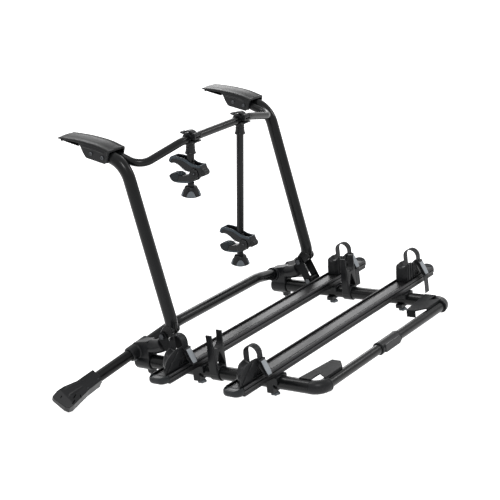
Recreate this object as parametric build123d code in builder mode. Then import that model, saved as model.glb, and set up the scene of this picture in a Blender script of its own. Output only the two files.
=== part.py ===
from build123d import *
from math import cos, radians, sin, tan
import os

# Trunk mounted rack for two bikes, drawn in use. X runs to the car's right, Y forward to the car
# and Z up. The origin is the middle of the line where the two hooks grip the trunk's top edge.
# Most shapes are drawn from the hub line, where the side tubes meet the arms, and are placed from it.

# Driving dimensions
HUB_Y = -198.0
HUB_Z = -676.0
HALF_SPAN = 361.0
TUBE_R = 20.0
TUBE_WALL = 2.0
ARM_R = 19.0
ARM_WALL = 2.0
REAR_R = 15.0
BAR_R = 12.0
FOOT_BAR_R = 17.0
THIN_WALL = 1.6
RUN = 0.3
PIN_PLAY = 0.06

# Arms, as seen from the side
ARM_LEAN = 11.16
ARM_LINE_Y = -140.4
ELBOW_Z = 50.0
ARM_BEND_R = 85.0
HOUSING_Y = 36.0
HOUSING_Z = 626.0
HOOK_PITCH = 14.5
ARM_INSIDE = 78.0
ARM_START_TURN = 80.0
ELBOW_TURN = 32.0

# Fold pivot at the top of the struts, and the strut's lower bolt
PIVOT_Y = -92.0
PIVOT_Z = 97.0
STRUT_LOW_Y = -123.0
STRUT_LOW_Z = 33.0
STRUT_BOLT_R = 5.0

# Platform
REAR_Y = -616.6
CORNER_R = 31.0
TRAY_YS = (-189.0, -449.0)
TRAY_HALF = 540.0
TRAY_W = 64.0
TRAY_H = 25.5
TRAY_Z = 21.6

# Cross bar and frame holders
BAR_Y = -79.0
BAR_Z = 627.0
BAR_BEND_X = 169.0
HOLDER_XS = {"left": -126.0, "right": 126.0}
HOLDER_DROPS = {"left": 102.0, "right": 404.0}
PLUMB = 7.93

# Foot bar, bent like a gull's wing
FOOT_BEND_IN = 148.3
FOOT_BEND_X = HALF_SPAN - FOOT_BEND_IN
FOOT_BEND_Y = -6.4
FOOT_BEND_Z = 72.8
FOOT_OUT = (0.9575, 0.1910, -0.2159)
FOOT_BAR_END = 362.0
FOOT_BEND_R = 120.0
FOOT_STARTS = {"left": 326.0, "right": 248.0}

SIDES = {"left": -1, "right": 1}


def across(x):
    """Plane across X: local axes are Y and Z, counted from the hub line."""
    return Plane(origin=(x, HUB_Y, HUB_Z), x_dir=(0, 1, 0), z_dir=(1, 0, 0))


def facing(y):
    """Plane that faces the rear: local axes are X and Z, counted from the hub line."""
    return Plane(origin=(0, HUB_Y + y, HUB_Z), x_dir=(1, 0, 0), z_dir=(0, -1, 0))


def level(z):
    """Level plane: local axes are X and Y, counted from the hub line."""
    return Plane(origin=(0, HUB_Y, HUB_Z + z))


def hub_point(x, y, z):
    return Vector(x, HUB_Y + y, HUB_Z + z)


def rounded_path(points, radii):
    """Straight runs joined by tangent arcs, drawn inside the current BuildLine."""
    points = [Vector(*p) for p in points]
    start = points[0]
    for before, corner, after, radius in zip(points, points[1:], points[2:], radii):
        u = (before - corner).normalized()
        v = (after - corner).normalized()
        half = radians(u.get_angle(v)) / 2
        run = radius / tan(half)
        centre = corner + (u + v).normalized() * (radius / sin(half))
        middle = centre + (corner - centre).normalized() * radius
        first = corner + u * run
        last = corner + v * run
        Line(start, first)
        ThreePointArc(first, middle, last)
        start = last
    Line(start, points[-1])


def start_plane(line):
    return Plane(origin=line @ 0, z_dir=line % 0)


def save(piece, label):
    piece.part.label = label
    export_step(piece.part, f"parts/{label}.step")


os.makedirs("parts", exist_ok=True)

lean = tan(radians(ARM_LEAN))
pitch = radians(HOOK_PITCH)
plumb = radians(PLUMB)

# Arms: a bent tube whose lower end plugs onto a knuckle with two cheeks, which turns on the strut's
# top bolt. The bend below the knuckle goes on in the hub casting's elbow.
elbow_corner_y = ARM_LINE_Y + lean * ELBOW_Z
elbow_run = ARM_BEND_R * tan(radians((90 + ARM_LEAN) / 2))
bend_y = elbow_corner_y + elbow_run
bend_z = ELBOW_Z + ARM_BEND_R
top_corner_z = (HOUSING_Z + tan(pitch) * (ARM_LINE_Y - HOUSING_Y)) / (1 - lean * tan(pitch))
top_corner_y = ARM_LINE_Y + lean * top_corner_z
arm_end_y = HOUSING_Y + ARM_INSIDE * cos(pitch)
arm_end_z = HOUSING_Z + ARM_INSIDE * sin(pitch)


def bend_point(turn, radius=ARM_BEND_R):
    """Point of the lower bend, turn degrees on from where it leaves the hub."""
    return (bend_y - radius * sin(radians(turn)), bend_z - radius * cos(radians(turn)))


CHEEK_R = 15.0
CHEEK_HALF = 20.0
TONGUE_HALF = 8.0
TONGUE_R = 13.0
KNUCKLE_R = 18.0
KNUCKLE_TURN = 76.0
KNUCKLE_SOFT = 3.0
PLUG_TURN = 92.0
SLOT_R = TONGUE_R + 3.0
SLOT_FROM = 153.0
SLOT_TO = 363.0
SLOT_REACH = 60.0
CLAMP_BOLT_R = 4.0
CLAMP_BOLTS = {"front": 83.5, "rear": 42.0}

for name, side in SIDES.items():
    x = side * HALF_SPAN
    with BuildPart() as arm:
        with BuildSketch(across(x)):
            with Locations((PIVOT_Y, PIVOT_Z)):
                Circle(CHEEK_R)
            with Locations(bend_point(KNUCKLE_TURN)):
                Circle(KNUCKLE_R)
            make_hull()
        extrude(amount=CHEEK_HALF, both=True)
        fillet(arm.edges().group_by(Axis.X)[0] + arm.edges().group_by(Axis.X)[-1], radius=KNUCKLE_SOFT)
        with BuildSketch(across(x)):
            with Locations((PIVOT_Y, PIVOT_Z)):
                Circle(SLOT_R)
            with BuildLine():
                edge = CenterArc((PIVOT_Y, PIVOT_Z), SLOT_REACH, SLOT_FROM, SLOT_TO - SLOT_FROM)
                Line(edge @ 1, (PIVOT_Y, PIVOT_Z))
                Line((PIVOT_Y, PIVOT_Z), edge @ 0)
            make_face()
        extrude(amount=TONGUE_HALF + RUN, both=True, mode=Mode.SUBTRACT)
        with BuildSketch(across(x)):
            with Locations((PIVOT_Y, PIVOT_Z)):
                Circle(STRUT_BOLT_R + PIN_PLAY)
        extrude(amount=CHEEK_HALF, both=True, mode=Mode.SUBTRACT)
        with BuildLine(across(x)) as plug_line:
            CenterArc((bend_y, bend_z), ARM_BEND_R, 270 - KNUCKLE_TURN, KNUCKLE_TURN - PLUG_TURN)
        with BuildSketch(start_plane(plug_line.line)):
            Circle(ARM_R - ARM_WALL / 2)
        sweep(path=plug_line.line)
        full_turn = 90 + ARM_LEAN
        turns = (ARM_START_TURN, (ARM_START_TURN + full_turn) / 2, full_turn)
        with BuildLine() as arm_line:
            ThreePointArc(*[hub_point(x, *bend_point(turn)) for turn in turns])
            corners = (bend_point(full_turn), (top_corner_y, top_corner_z), (arm_end_y, arm_end_z))
            rounded_path([tuple(hub_point(x, *at)) for at in corners], [ARM_BEND_R])
        with BuildSketch(start_plane(arm_line.line)):
            Circle(ARM_R)
            Circle(ARM_R - ARM_WALL, mode=Mode.SUBTRACT)
        sweep(path=arm_line.line)
        with BuildSketch(across(x)):
            for y in CLAMP_BOLTS.values():
                with Locations((y, HOUSING_Z + tan(pitch) * (y - HOUSING_Y))):
                    Circle(CLAMP_BOLT_R)
        extrude(amount=ARM_R, both=True, mode=Mode.SUBTRACT)
    save(arm, f"arm_{name}")

# Hub castings: a cup for the side tube's end, a socket block for the foot bar, and the elbow that
# carries on down from the arm and ends in the tongue between the knuckle's cheeks.
CUP_R = 25.0
CUP_BACK = -24.0
CUP_FRONT = 35.0
TUBE_FRONT = 28.0
CUP_SOFT = 6.0
BLOCK_HALF = 20.0
BLOCK_FRONT = 30.0
BLOCK_TOP = 66.0
BLOCK_LOW = 8.0
BLOCK_SOFT = 5.0
ELBOW_R = 21.5
COLLAR_R = 22.5
COLLAR_IN = 34.0
COLLAR_OUT = 44.0
EAR_HALF = 9.0
EAR_FRONT = -3.0
EAR_LOW = -36.0
HUB_SCREW_R = 4.0
HUB_SCREW_Y = -13.0
HUB_SCREW_LOW = -44.0
HUB_SCREW_TOP = -22.0
HUB_HEAD_R = 8.0


def leg_point(side, x):
    """Point on the foot bar's leg, counted from the hub line."""
    run = (x - FOOT_BEND_X) / FOOT_OUT[0]
    return Vector(side * x, FOOT_BEND_Y + run * FOOT_OUT[1], FOOT_BEND_Z + run * FOOT_OUT[2])


def leg_plane(side, along):
    """Plane square to the leg: local Y is up along the car's face, along is counted from the hub."""
    at = leg_point(side, HALF_SPAN)
    out = Vector(side * FOOT_OUT[0], FOOT_OUT[1], FOOT_OUT[2])
    up = (Vector(0, 0, 1) - out * out.Z).normalized()
    origin = hub_point(*at) + out * along
    return Plane(origin=origin, x_dir=up.cross(out), z_dir=out)


for name, side in SIDES.items():
    x = side * HALF_SPAN
    with BuildPart() as hub:
        with BuildSketch(facing(CUP_BACK)):
            with Locations((x, 0)):
                Circle(CUP_R)
        extrude(amount=CUP_BACK - CUP_FRONT)
        fillet(hub.edges().group_by(Axis.Y)[-1], radius=CUP_SOFT)
        with BuildSketch(across(x)):
            with BuildLine():
                Polyline(
                    (CUP_BACK, BLOCK_LOW),
                    (CUP_BACK, BLOCK_TOP + BLOCK_SOFT),
                    (BLOCK_LOW, BLOCK_TOP),
                    (BLOCK_FRONT, BLOCK_TOP - BLOCK_SOFT),
                    (BLOCK_FRONT, BLOCK_LOW),
                    close=True,
                )
            make_face()
        extrude(amount=BLOCK_HALF, both=True)
        with BuildSketch(leg_plane(side, -COLLAR_IN)):
            Circle(COLLAR_R)
        extrude(amount=COLLAR_IN + COLLAR_OUT)
        with BuildSketch(across(x)):
            with BuildLine():
                Polyline(
                    (CUP_BACK, 0),
                    (CUP_BACK, EAR_LOW),
                    (EAR_FRONT, EAR_LOW),
                    (EAR_FRONT + CUP_SOFT, 0),
                    close=True,
                )
            make_face()
        extrude(amount=EAR_HALF, both=True)
        with BuildLine(across(x)) as elbow_line:
            lead = Line((CUP_BACK, ELBOW_Z), (bend_y, ELBOW_Z))
            CenterArc((bend_y, bend_z), ARM_BEND_R, 270, -ELBOW_TURN)
        with BuildSketch(start_plane(elbow_line.line)):
            Circle(ELBOW_R)
        sweep(path=elbow_line.line)
        with BuildSketch(across(x)):
            with Locations((PIVOT_Y, PIVOT_Z)):
                Circle(TONGUE_R)
            with Locations(bend_point(ELBOW_TURN - CUP_SOFT)):
                Circle(TONGUE_R)
            make_hull()
        extrude(amount=TONGUE_HALF, both=True)
        with BuildSketch(across(x)):
            with Locations((PIVOT_Y, PIVOT_Z)):
                Circle(STRUT_BOLT_R)
        extrude(amount=CHEEK_HALF, both=True, mode=Mode.SUBTRACT)
        with BuildSketch(facing(CUP_BACK)):
            with Locations((x, 0)):
                Circle(TUBE_R)
        extrude(amount=CUP_BACK - TUBE_FRONT, mode=Mode.SUBTRACT)
        with BuildSketch(leg_plane(side, -COLLAR_IN)):
            Circle(FOOT_BAR_R)
        extrude(amount=COLLAR_IN + COLLAR_OUT, mode=Mode.SUBTRACT)
        with BuildSketch(level(EAR_LOW)):
            with Locations((x, HUB_SCREW_Y)):
                Circle(HUB_SCREW_R)
        extrude(amount=HUB_SCREW_TOP - EAR_LOW, mode=Mode.SUBTRACT)
    save(hub, f"hub_{name}")

with BuildPart() as hub_screws:
    for side in SIDES.values():
        x = side * HALF_SPAN
        with BuildSketch(level(HUB_SCREW_LOW)):
            with Locations((x, HUB_SCREW_Y)):
                RegularPolygon(HUB_HEAD_R, side_count=6)
        extrude(amount=EAR_LOW - HUB_SCREW_LOW)
        with BuildSketch(level(EAR_LOW)):
            with Locations((x, HUB_SCREW_Y)):
                Circle(HUB_SCREW_R)
        extrude(amount=HUB_SCREW_TOP - EAR_LOW)
save(hub_screws, "hub_screws")

# Struts: a pair of flat plates on each side, from the fold pivot down to a lug on the side tube
PLATE_T = 4.0
PLATE_R = 14.0
BOLT_HEAD_R = 9.0
BOLT_HEAD_H = 5.0
plate_in = CHEEK_HALF + RUN
plate_out = plate_in + PLATE_T

with BuildPart() as strut_plates:
    for side in SIDES.values():
        for inner in (-plate_out, plate_in):
            with BuildSketch(across(side * HALF_SPAN + inner)):
                with Locations((PIVOT_Y, PIVOT_Z), (STRUT_LOW_Y, STRUT_LOW_Z)):
                    Circle(PLATE_R)
                make_hull()
                with Locations((PIVOT_Y, PIVOT_Z), (STRUT_LOW_Y, STRUT_LOW_Z)):
                    Circle(STRUT_BOLT_R, mode=Mode.SUBTRACT)
            extrude(amount=PLATE_T)
save(strut_plates, "strut_plates")

with BuildPart() as strut_bolts:
    for side in SIDES.values():
        for at in ((PIVOT_Y, PIVOT_Z), (STRUT_LOW_Y, STRUT_LOW_Z)):
            with BuildSketch(across(side * HALF_SPAN)):
                with Locations(at):
                    Circle(STRUT_BOLT_R)
            extrude(amount=plate_out, both=True)
            for face in (plate_out, -plate_out - BOLT_HEAD_H):
                with BuildSketch(across(side * HALF_SPAN + face)):
                    with Locations(at):
                        RegularPolygon(BOLT_HEAD_R, side_count=6)
                extrude(amount=BOLT_HEAD_H)
save(strut_bolts, "strut_bolts")

# Side tubes, each with the lug saddle welded on for the strut's lower bolt
SADDLE_FRONT = -28.0
SADDLE_BACK = -140.0
SADDLE_T = 2.5
LUG_R = 13.0
LUG_HALF = plate_in
LUG_LOW = 5.0
SPIGOT = 25.0
tube_back = REAR_Y + CORNER_R

for name, side in SIDES.items():
    x = side * HALF_SPAN
    with BuildPart() as side_tube:
        with BuildSketch(facing(TUBE_FRONT)):
            with Locations((x, 0)):
                Circle(TUBE_R)
        extrude(amount=TUBE_FRONT - tube_back)
        with BuildSketch(facing(SADDLE_FRONT)):
            with Locations((x, 0)):
                Circle(TUBE_R + SADDLE_T)
            with Locations((x, -TUBE_R)):
                Rectangle(3 * TUBE_R, 2 * TUBE_R, mode=Mode.SUBTRACT)
        extrude(amount=SADDLE_FRONT - SADDLE_BACK)
        with BuildSketch(across(x)):
            with Locations((STRUT_LOW_Y, STRUT_LOW_Z)):
                Circle(LUG_R)
            with Locations((STRUT_LOW_Y, LUG_LOW + LUG_R)):
                Rectangle(2 * LUG_R, 2 * LUG_R)
        extrude(amount=LUG_HALF, both=True)
        with BuildSketch(across(x)):
            with Locations((STRUT_LOW_Y, STRUT_LOW_Z)):
                Circle(STRUT_BOLT_R)
        extrude(amount=LUG_HALF, both=True, mode=Mode.SUBTRACT)
        with BuildSketch(facing(TUBE_FRONT)):
            with Locations((x, 0)):
                Circle(TUBE_R - TUBE_WALL)
        extrude(amount=TUBE_FRONT - tube_back, mode=Mode.SUBTRACT)
    save(side_tube, f"side_tube_{name}")

# Corner castings: they plug into the side tubes and take the ends of the rear tube
SEAM_IN = 34.0
SEAM_X = HALF_SPAN - SEAM_IN
PLUG_IN = 20.0

for name, side in SIDES.items():
    with BuildPart() as corner:
        with BuildLine(level(0)) as corner_line:
            bend = JernArc(
                (side * HALF_SPAN, tube_back), tangent=(0, -1), radius=CORNER_R, arc_size=-side * 90
            )
            Line(bend @ 1, (side * SEAM_X, REAR_Y))
        with BuildSketch(start_plane(corner_line.line)):
            Circle(TUBE_R)
        sweep(path=corner_line.line)
        with BuildSketch(facing(tube_back + SPIGOT)):
            with Locations((side * HALF_SPAN, 0)):
                Circle(TUBE_R - TUBE_WALL)
        extrude(amount=SPIGOT)
        with BuildSketch(across(side * SEAM_X)):
            with Locations((REAR_Y, 0)):
                Circle(REAR_R)
        extrude(amount=side * PLUG_IN, mode=Mode.SUBTRACT)
    save(corner, f"corner_{name}")

with BuildPart() as rear_tube:
    with BuildSketch(across(0)):
        with Locations((REAR_Y, 0)):
            Circle(REAR_R)
            Circle(REAR_R - THIN_WALL, mode=Mode.SUBTRACT)
    extrude(amount=SEAM_X + PLUG_IN, both=True)
save(rear_tube, "rear_tube")

# Sleeve in the middle of the rear tube, with a bare flat pad that faces rearward
SLEEVE_HALF = 54.0
SLEEVE_R = 19.0
PAD_HALF = 42.0
PAD_RISE = 20.6
PAD_H = 24.0
PAD_SOFT = 3.0

with BuildPart() as rear_sleeve:
    with BuildSketch(across(0)):
        with Locations((REAR_Y, 0)):
            Circle(SLEEVE_R)
    extrude(amount=SLEEVE_HALF, both=True)
    fillet(rear_sleeve.edges(), radius=PAD_SOFT)
    with BuildSketch(facing(REAR_Y)):
        RectangleRounded(2 * PAD_HALF, PAD_H, PAD_SOFT)
    extrude(amount=PAD_RISE)
    with BuildSketch(across(0)):
        with Locations((REAR_Y, 0)):
            Circle(REAR_R)
    extrude(amount=SLEEVE_HALF, both=True, mode=Mode.SUBTRACT)
save(rear_sleeve, "rear_sleeve")

# Corner braces: pressed plates over the rear corners, folded down at the rear and at the inboard end
BRACE_REACH = 147.0
BRACE_RISE = 70.0
BRACE_T = 3.0
BRACE_FLANGE = 14.0
BRACE_SHARES = ((0.0, 1.0), (1.0, 0.78), (1.0, 0.36), (0.78, 0.0), (0.17, 0.0), (0.31, 0.43), (0.0, 0.45))

with BuildPart() as corner_braces:
    for side in SIDES.values():
        outline = [
            (side * (HALF_SPAN - across_share * BRACE_REACH), REAR_Y + rise_share * BRACE_RISE)
            for across_share, rise_share in BRACE_SHARES
        ]
        with BuildSketch(level(TUBE_R)):
            with BuildLine():
                Polyline(*outline, close=True)
            make_face()
        extrude(amount=BRACE_T)
        end_x = side * (HALF_SPAN - BRACE_REACH)
        end_mid = (outline[1][1] + outline[2][1]) / 2
        with BuildSketch(level(TUBE_R)):
            with Locations((end_x + side * BRACE_T / 2, end_mid)):
                Rectangle(BRACE_T, outline[1][1] - outline[2][1])
        extrude(amount=-TUBE_R)
        flange_in = outline[3][0]
        flange_out = side * (SEAM_X - BRACE_T)
        with BuildSketch(level(TUBE_R)):
            with Locations(((flange_in + flange_out) / 2, REAR_Y + BRACE_T / 2)):
                Rectangle(abs(flange_out - flange_in), BRACE_T)
        extrude(amount=REAR_R / 2 - TUBE_R)
    with BuildSketch(across(0)):
        with Locations((REAR_Y, 0)):
            Circle(REAR_R)
    extrude(amount=SEAM_X, both=True, mode=Mode.SUBTRACT)
save(corner_braces, "corner_braces")

# Storage forks: clips on the side tubes that hold the arms when they are folded down
FORK_Y = -266.0
FORK_W = 26.0
FORK_COLLAR_W = 32.0
FORK_COLLAR_R = 24.0
FORK_GAP_R = 19.7
FORK_BLADE = 5.5
FORK_TOP = 27.6
FOLD_TURN = 92.0
fold_offset = (PIVOT_Y - ARM_LINE_Y - lean * PIVOT_Z) * cos(radians(ARM_LEAN))
fold_rise = radians(90 + ARM_LEAN - FOLD_TURN)


def folded_z(y):
    """Height of a folded arm's axis at y."""
    return PIVOT_Z - fold_offset / cos(fold_rise) + (PIVOT_Y - y) * tan(fold_rise)


fork_z = folded_z(FORK_Y + FORK_W / 2) - RUN
with BuildPart() as storage_forks:
    for side in SIDES.values():
        x = side * HALF_SPAN
        with BuildSketch(facing(FORK_Y + FORK_W / 2)):
            with Locations((x, (fork_z + FORK_TOP) / 2)):
                Rectangle(2 * (FORK_GAP_R + FORK_BLADE), fork_z + FORK_TOP)
            with Locations((x, fork_z)):
                Circle(FORK_GAP_R, mode=Mode.SUBTRACT)
            with Locations((x, fork_z + FORK_TOP)):
                Rectangle(2 * FORK_GAP_R, 2 * FORK_TOP, mode=Mode.SUBTRACT)
            with BuildLine():
                Polyline(
                    (x, fork_z - FORK_GAP_R - FORK_BLADE),
                    (x + FORK_GAP_R, TUBE_R),
                    (x - FORK_GAP_R, TUBE_R),
                    close=True,
                )
            make_face(mode=Mode.SUBTRACT)
        extrude(amount=FORK_W)
        with BuildSketch(facing(FORK_Y + FORK_COLLAR_W / 2)):
            with Locations((x, 0)):
                Circle(FORK_COLLAR_R)
        extrude(amount=FORK_COLLAR_W)
        with BuildSketch(facing(FORK_Y + FORK_COLLAR_W / 2)):
            with Locations((x, 0)):
                Circle(TUBE_R)
        extrude(amount=FORK_COLLAR_W, mode=Mode.SUBTRACT)
save(storage_forks, "storage_forks")

# Foot bar, through both hub castings
with BuildPart() as foot_bar:
    with BuildLine() as foot_line:
        turn_right = Vector(FOOT_BEND_X, HUB_Y + FOOT_BEND_Y, HUB_Z + FOOT_BEND_Z)
        turn_left = Vector(-FOOT_BEND_X, HUB_Y + FOOT_BEND_Y, HUB_Z + FOOT_BEND_Z)
        out_right = Vector(*FOOT_OUT)
        out_left = Vector(-FOOT_OUT[0], FOOT_OUT[1], FOOT_OUT[2])
        rounded_path(
            (
                turn_left + out_left * FOOT_BAR_END,
                turn_left,
                turn_right,
                turn_right + out_right * FOOT_BAR_END,
            ),
            (FOOT_BEND_R, FOOT_BEND_R),
        )
    with BuildSketch(start_plane(foot_line.line)):
        Circle(FOOT_BAR_R)
        Circle(FOOT_BAR_R - THIN_WALL, mode=Mode.SUBTRACT)
    sweep()
save(foot_bar, "foot_bar")

# Feet: shells that slide on the legs, round at the sleeve and flat and broad at the toe
FOOT_L = 152.0
FOOT_SLEEVE_R = 21.0
FOOT_BORE = 116.0
FOOT_ROLL = 50.9
FOOT_PAD_T = 5.0
FOOT_PLAN_SHARES = (
    (0.02, -0.138), (0.43, -0.138), (0.70, -0.205), (0.86, -0.215), (0.985, -0.19),
    (1.0, -0.14), (0.955, 0.14), (0.90, 0.21), (0.80, 0.218), (0.62, 0.19), (0.36, 0.150), (0.02, 0.138),
)
FOOT_SOLE_SHARE = 0.14
FOOT_SIDE_SHARES = (
    (0.0, -FOOT_SOLE_SHARE), (0.8, -FOOT_SOLE_SHARE), (1.0, -0.05), (1.0, 0.07), (0.8, 0.118), (0.40, 0.14),
    (0.0, 0.14),
)
FOOT_PAD_SHARES = ((0.22, -0.11), (0.66, -0.17), (0.78, -0.17), (0.78, 0.17), (0.62, 0.15), (0.22, 0.11))


def foot_axes(side):
    """Out along the leg, across the sole, and up through the cover."""
    out = Vector(side * FOOT_OUT[0], FOOT_OUT[1], FOOT_OUT[2])
    up = (Vector(0, 0, 1) - out * out.Z).normalized()
    ahead = (Vector(0, 1, 0) - out * out.Y - up * up.Y).normalized()
    roll = radians(FOOT_ROLL)
    wide = up * -cos(roll) - ahead * sin(roll)
    cover = up * sin(roll) - ahead * cos(roll)
    return out, wide, cover


for name, side in SIDES.items():
    out, wide, cover = foot_axes(side)
    at = leg_point(side, FOOT_BEND_X + FOOT_STARTS[name] * FOOT_OUT[0])
    at = hub_point(*at)
    sense = 1 if out.cross(wide).dot(cover) > 0 else -1
    plan_plane = Plane(origin=at, x_dir=out, z_dir=out.cross(wide))
    side_plane = Plane(origin=at, x_dir=out, z_dir=out.cross(cover))
    with BuildPart() as foot:
        with BuildSketch(plan_plane):
            with BuildLine():
                Polyline(*[(a * FOOT_L, b * FOOT_L) for a, b in FOOT_PLAN_SHARES], close=True)
            make_face()
        extrude(amount=FOOT_SOLE_SHARE * FOOT_L, both=True)
        with BuildSketch(side_plane):
            with BuildLine():
                Polyline(*[(a * FOOT_L, b * FOOT_L) for a, b in FOOT_SIDE_SHARES], close=True)
            make_face()
        extrude(amount=FOOT_L, both=True, mode=Mode.INTERSECT)
        with BuildSketch(Plane(origin=at, z_dir=out)):
            Circle(FOOT_SLEEVE_R)
        extrude(amount=FOOT_BORE / 2)
        with BuildSketch(Plane(origin=at, z_dir=out)):
            Circle(FOOT_BAR_R + RUN)
        extrude(amount=FOOT_BORE, mode=Mode.SUBTRACT)
    save(foot, f"foot_{name}")
    with BuildPart() as foot_pad:
        with BuildSketch(plan_plane.offset(-sense * FOOT_SOLE_SHARE * FOOT_L)):
            with BuildLine():
                Polyline(*[(a * FOOT_L, b * FOOT_L) for a, b in FOOT_PAD_SHARES], close=True)
            make_face()
        extrude(amount=-sense * FOOT_PAD_T)
    save(foot_pad, f"foot_pad_{name}")

# Wheel trays: drawn channels with rolled lips, each on two brackets that slide along the side tubes
TRAY_LIP = 7.0
TRAY_WALL = 2.2
TROUGH_D = 7.5
TRAY_SLOT = 30.0
TRAY_SOFT = 1.0
CAP_L = 13.0
CAP_SOFT = 9.0
CAP_PLUG = 12.0
BRACKET_BACK = 12.0
BRACKET_HALF_Y = 28.0
BRACKET_WALL = 5.0
BRACKET_W = 22.0
BRACKET_LOW = -27.0
BRACKET_OPEN_LOW = -14.0
BRACKET_OPEN_HIGH = 6.0
KNOB_SHANK_R = 4.0
KNOB_FLANGE_R = 7.0
KNOB_DISC_R = 13.5
KNOB_DISC_TOP = -31.0
KNOB_DISC_LOW = -40.0
KNOB_WING_R = 4.0
KNOB_LOBES = 5
trough_half = TRAY_W / 2 - TRAY_LIP
tray_top = TRAY_Z + TRAY_H
trough_z = tray_top - TROUGH_D

for number, tray_y in enumerate(TRAY_YS, start=1):
    with BuildPart() as tray:
        with BuildSketch(across(0)):
            with Locations((tray_y, TRAY_Z + TRAY_H / 2)):
                RectangleRounded(TRAY_W, TRAY_H, TRAY_SOFT)
            with Locations((tray_y, tray_top)):
                Rectangle(2 * trough_half, 2 * TROUGH_D, mode=Mode.SUBTRACT)
            cavity_low = TRAY_Z + TRAY_WALL
            cavity_top = trough_z - TRAY_WALL
            with Locations((tray_y, (cavity_low + cavity_top) / 2)):
                Rectangle(TRAY_W - 2 * TRAY_WALL, cavity_top - cavity_low, mode=Mode.SUBTRACT)
            with Locations((tray_y, TRAY_Z)):
                Rectangle(TRAY_SLOT, 2 * TRAY_WALL, mode=Mode.SUBTRACT)
        extrude(amount=TRAY_HALF, both=True)
    save(tray, f"tray_{number}")

    with BuildPart() as tray_caps:
        for side in SIDES.values():
            with BuildSketch(across(side * TRAY_HALF)):
                with Locations((tray_y, TRAY_Z + TRAY_H / 2)):
                    Rectangle(TRAY_W, TRAY_H)
            extrude(amount=side * CAP_L)
        ends = tray_caps.edges().group_by(Axis.X)
        fillet(ends[0] + ends[-1], radius=CAP_SOFT)
        for side in SIDES.values():
            with BuildSketch(across(side * TRAY_HALF)):
                with Locations((tray_y, (cavity_low + cavity_top) / 2)):
                    Rectangle(TRAY_W - 2 * TRAY_WALL, cavity_top - cavity_low)
            extrude(amount=-side * CAP_PLUG)
    save(tray_caps, f"tray_caps_{number}")

    bracket_y = tray_y - BRACKET_BACK
    with BuildPart() as tray_brackets:
        for side in SIDES.values():
            x = side * HALF_SPAN
            outer = TUBE_R + RUN + BRACKET_WALL
            with BuildSketch(facing(bracket_y + BRACKET_W / 2)):
                with Locations((x, (TRAY_Z + BRACKET_LOW) / 2)):
                    Rectangle(2 * outer, TRAY_Z - BRACKET_LOW)
            extrude(amount=BRACKET_W)
            with BuildSketch(facing(bracket_y + BRACKET_HALF_Y)):
                with Locations((x, TRAY_Z / 2)):
                    Rectangle(2 * outer, TRAY_Z)
            extrude(amount=2 * BRACKET_HALF_Y)
            with BuildSketch(facing(bracket_y + BRACKET_HALF_Y)):
                with Locations((x, 0)):
                    Circle(TUBE_R + RUN)
            extrude(amount=2 * BRACKET_HALF_Y, mode=Mode.SUBTRACT)
            with BuildSketch(facing(bracket_y + BRACKET_HALF_Y)):
                with Locations((x - side * outer, (BRACKET_OPEN_LOW + BRACKET_OPEN_HIGH) / 2)):
                    Rectangle(2 * outer, BRACKET_OPEN_HIGH - BRACKET_OPEN_LOW)
            extrude(amount=2 * BRACKET_HALF_Y, mode=Mode.SUBTRACT)
            with BuildSketch(level(BRACKET_LOW)):
                with Locations((x, bracket_y)):
                    Circle(KNOB_SHANK_R + PIN_PLAY)
            extrude(amount=BRACKET_WALL + TUBE_R, mode=Mode.SUBTRACT)
    save(tray_brackets, f"tray_brackets_{number}")

    for name, side in SIDES.items():
        x = side * HALF_SPAN
        with BuildPart() as tray_knob:
            with BuildSketch(level(KNOB_DISC_LOW)):
                with Locations((x, bracket_y)):
                    Circle(KNOB_DISC_R)
                    with PolarLocations(KNOB_DISC_R, KNOB_LOBES):
                        Circle(KNOB_WING_R, mode=Mode.SUBTRACT)
            extrude(amount=KNOB_DISC_TOP - KNOB_DISC_LOW)
            with BuildSketch(level(KNOB_DISC_TOP)):
                with Locations((x, bracket_y)):
                    Circle(KNOB_FLANGE_R)
            extrude(amount=BRACKET_LOW - RUN - KNOB_DISC_TOP)
            with BuildSketch(level(KNOB_DISC_TOP)):
                with Locations((x, bracket_y)):
                    Circle(KNOB_SHANK_R)
            extrude(amount=-TUBE_R - RUN - KNOB_DISC_TOP)
        save(tray_knob, f"tray_knob_{number}_{name}")

# Wheel cradles: each slides in a tray's trough, with a nose on its left and a channel for the tyre
STRAP_INS = {"left": 112.0, "right": 76.0}
STRAP_XS = {name: side * (TRAY_HALF - STRAP_INS[name]) for name, side in SIDES.items()}
CRADLE_HALF = 22.0
CRADLE_TOP = 104.0
NOSE_L = 100.0
CRADLE_BACK = 20.0
CHANNEL_R = 17.0
CHANNEL_Z = 100.0
FRONT_FOOT_SHARES = {"left": 0.55, "right": 0.75}
RISE_SHARES = ((-1.0, 0.0), (-0.98, 0.07), (-0.30, 1.0), (-0.06, 0.97), (0.15, 0.35), (0.20, 0.0))
SIDE_SHARES = ((-1.0, 0.0), (-0.95, 0.30), (-0.55, 0.80), (-0.15, 0.78), (0.25, 0.30), (0.36, 0.0))
POCKET_SHARES = ((-0.38, 0.18), (-0.10, 0.60), (0.06, 0.12))
POCKET_D = 4.0
STRAP_W = 24.0
STRAP_T = 2.4
STRAP_TOP = 132.0
STRAP_LOW = 62.0
BUCKLE_TOP_Z = 90.0
BUCKLE_L = 50.0
BUCKLE_TILT = 26.0
BUCKLE_T = 4.0
BUCKLE_EAR_T = 2.0
BUCKLE_EAR_R = 3.5
BUCKLE_BARREL_R = 3.0
BUCKLE_PIN_R = 1.5
TAIL_LOW = -20.0
strap_y = CRADLE_HALF + STRAP_T / 2
cradle_z = trough_z + RUN
cradle_rise = CRADLE_TOP - cradle_z

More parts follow.
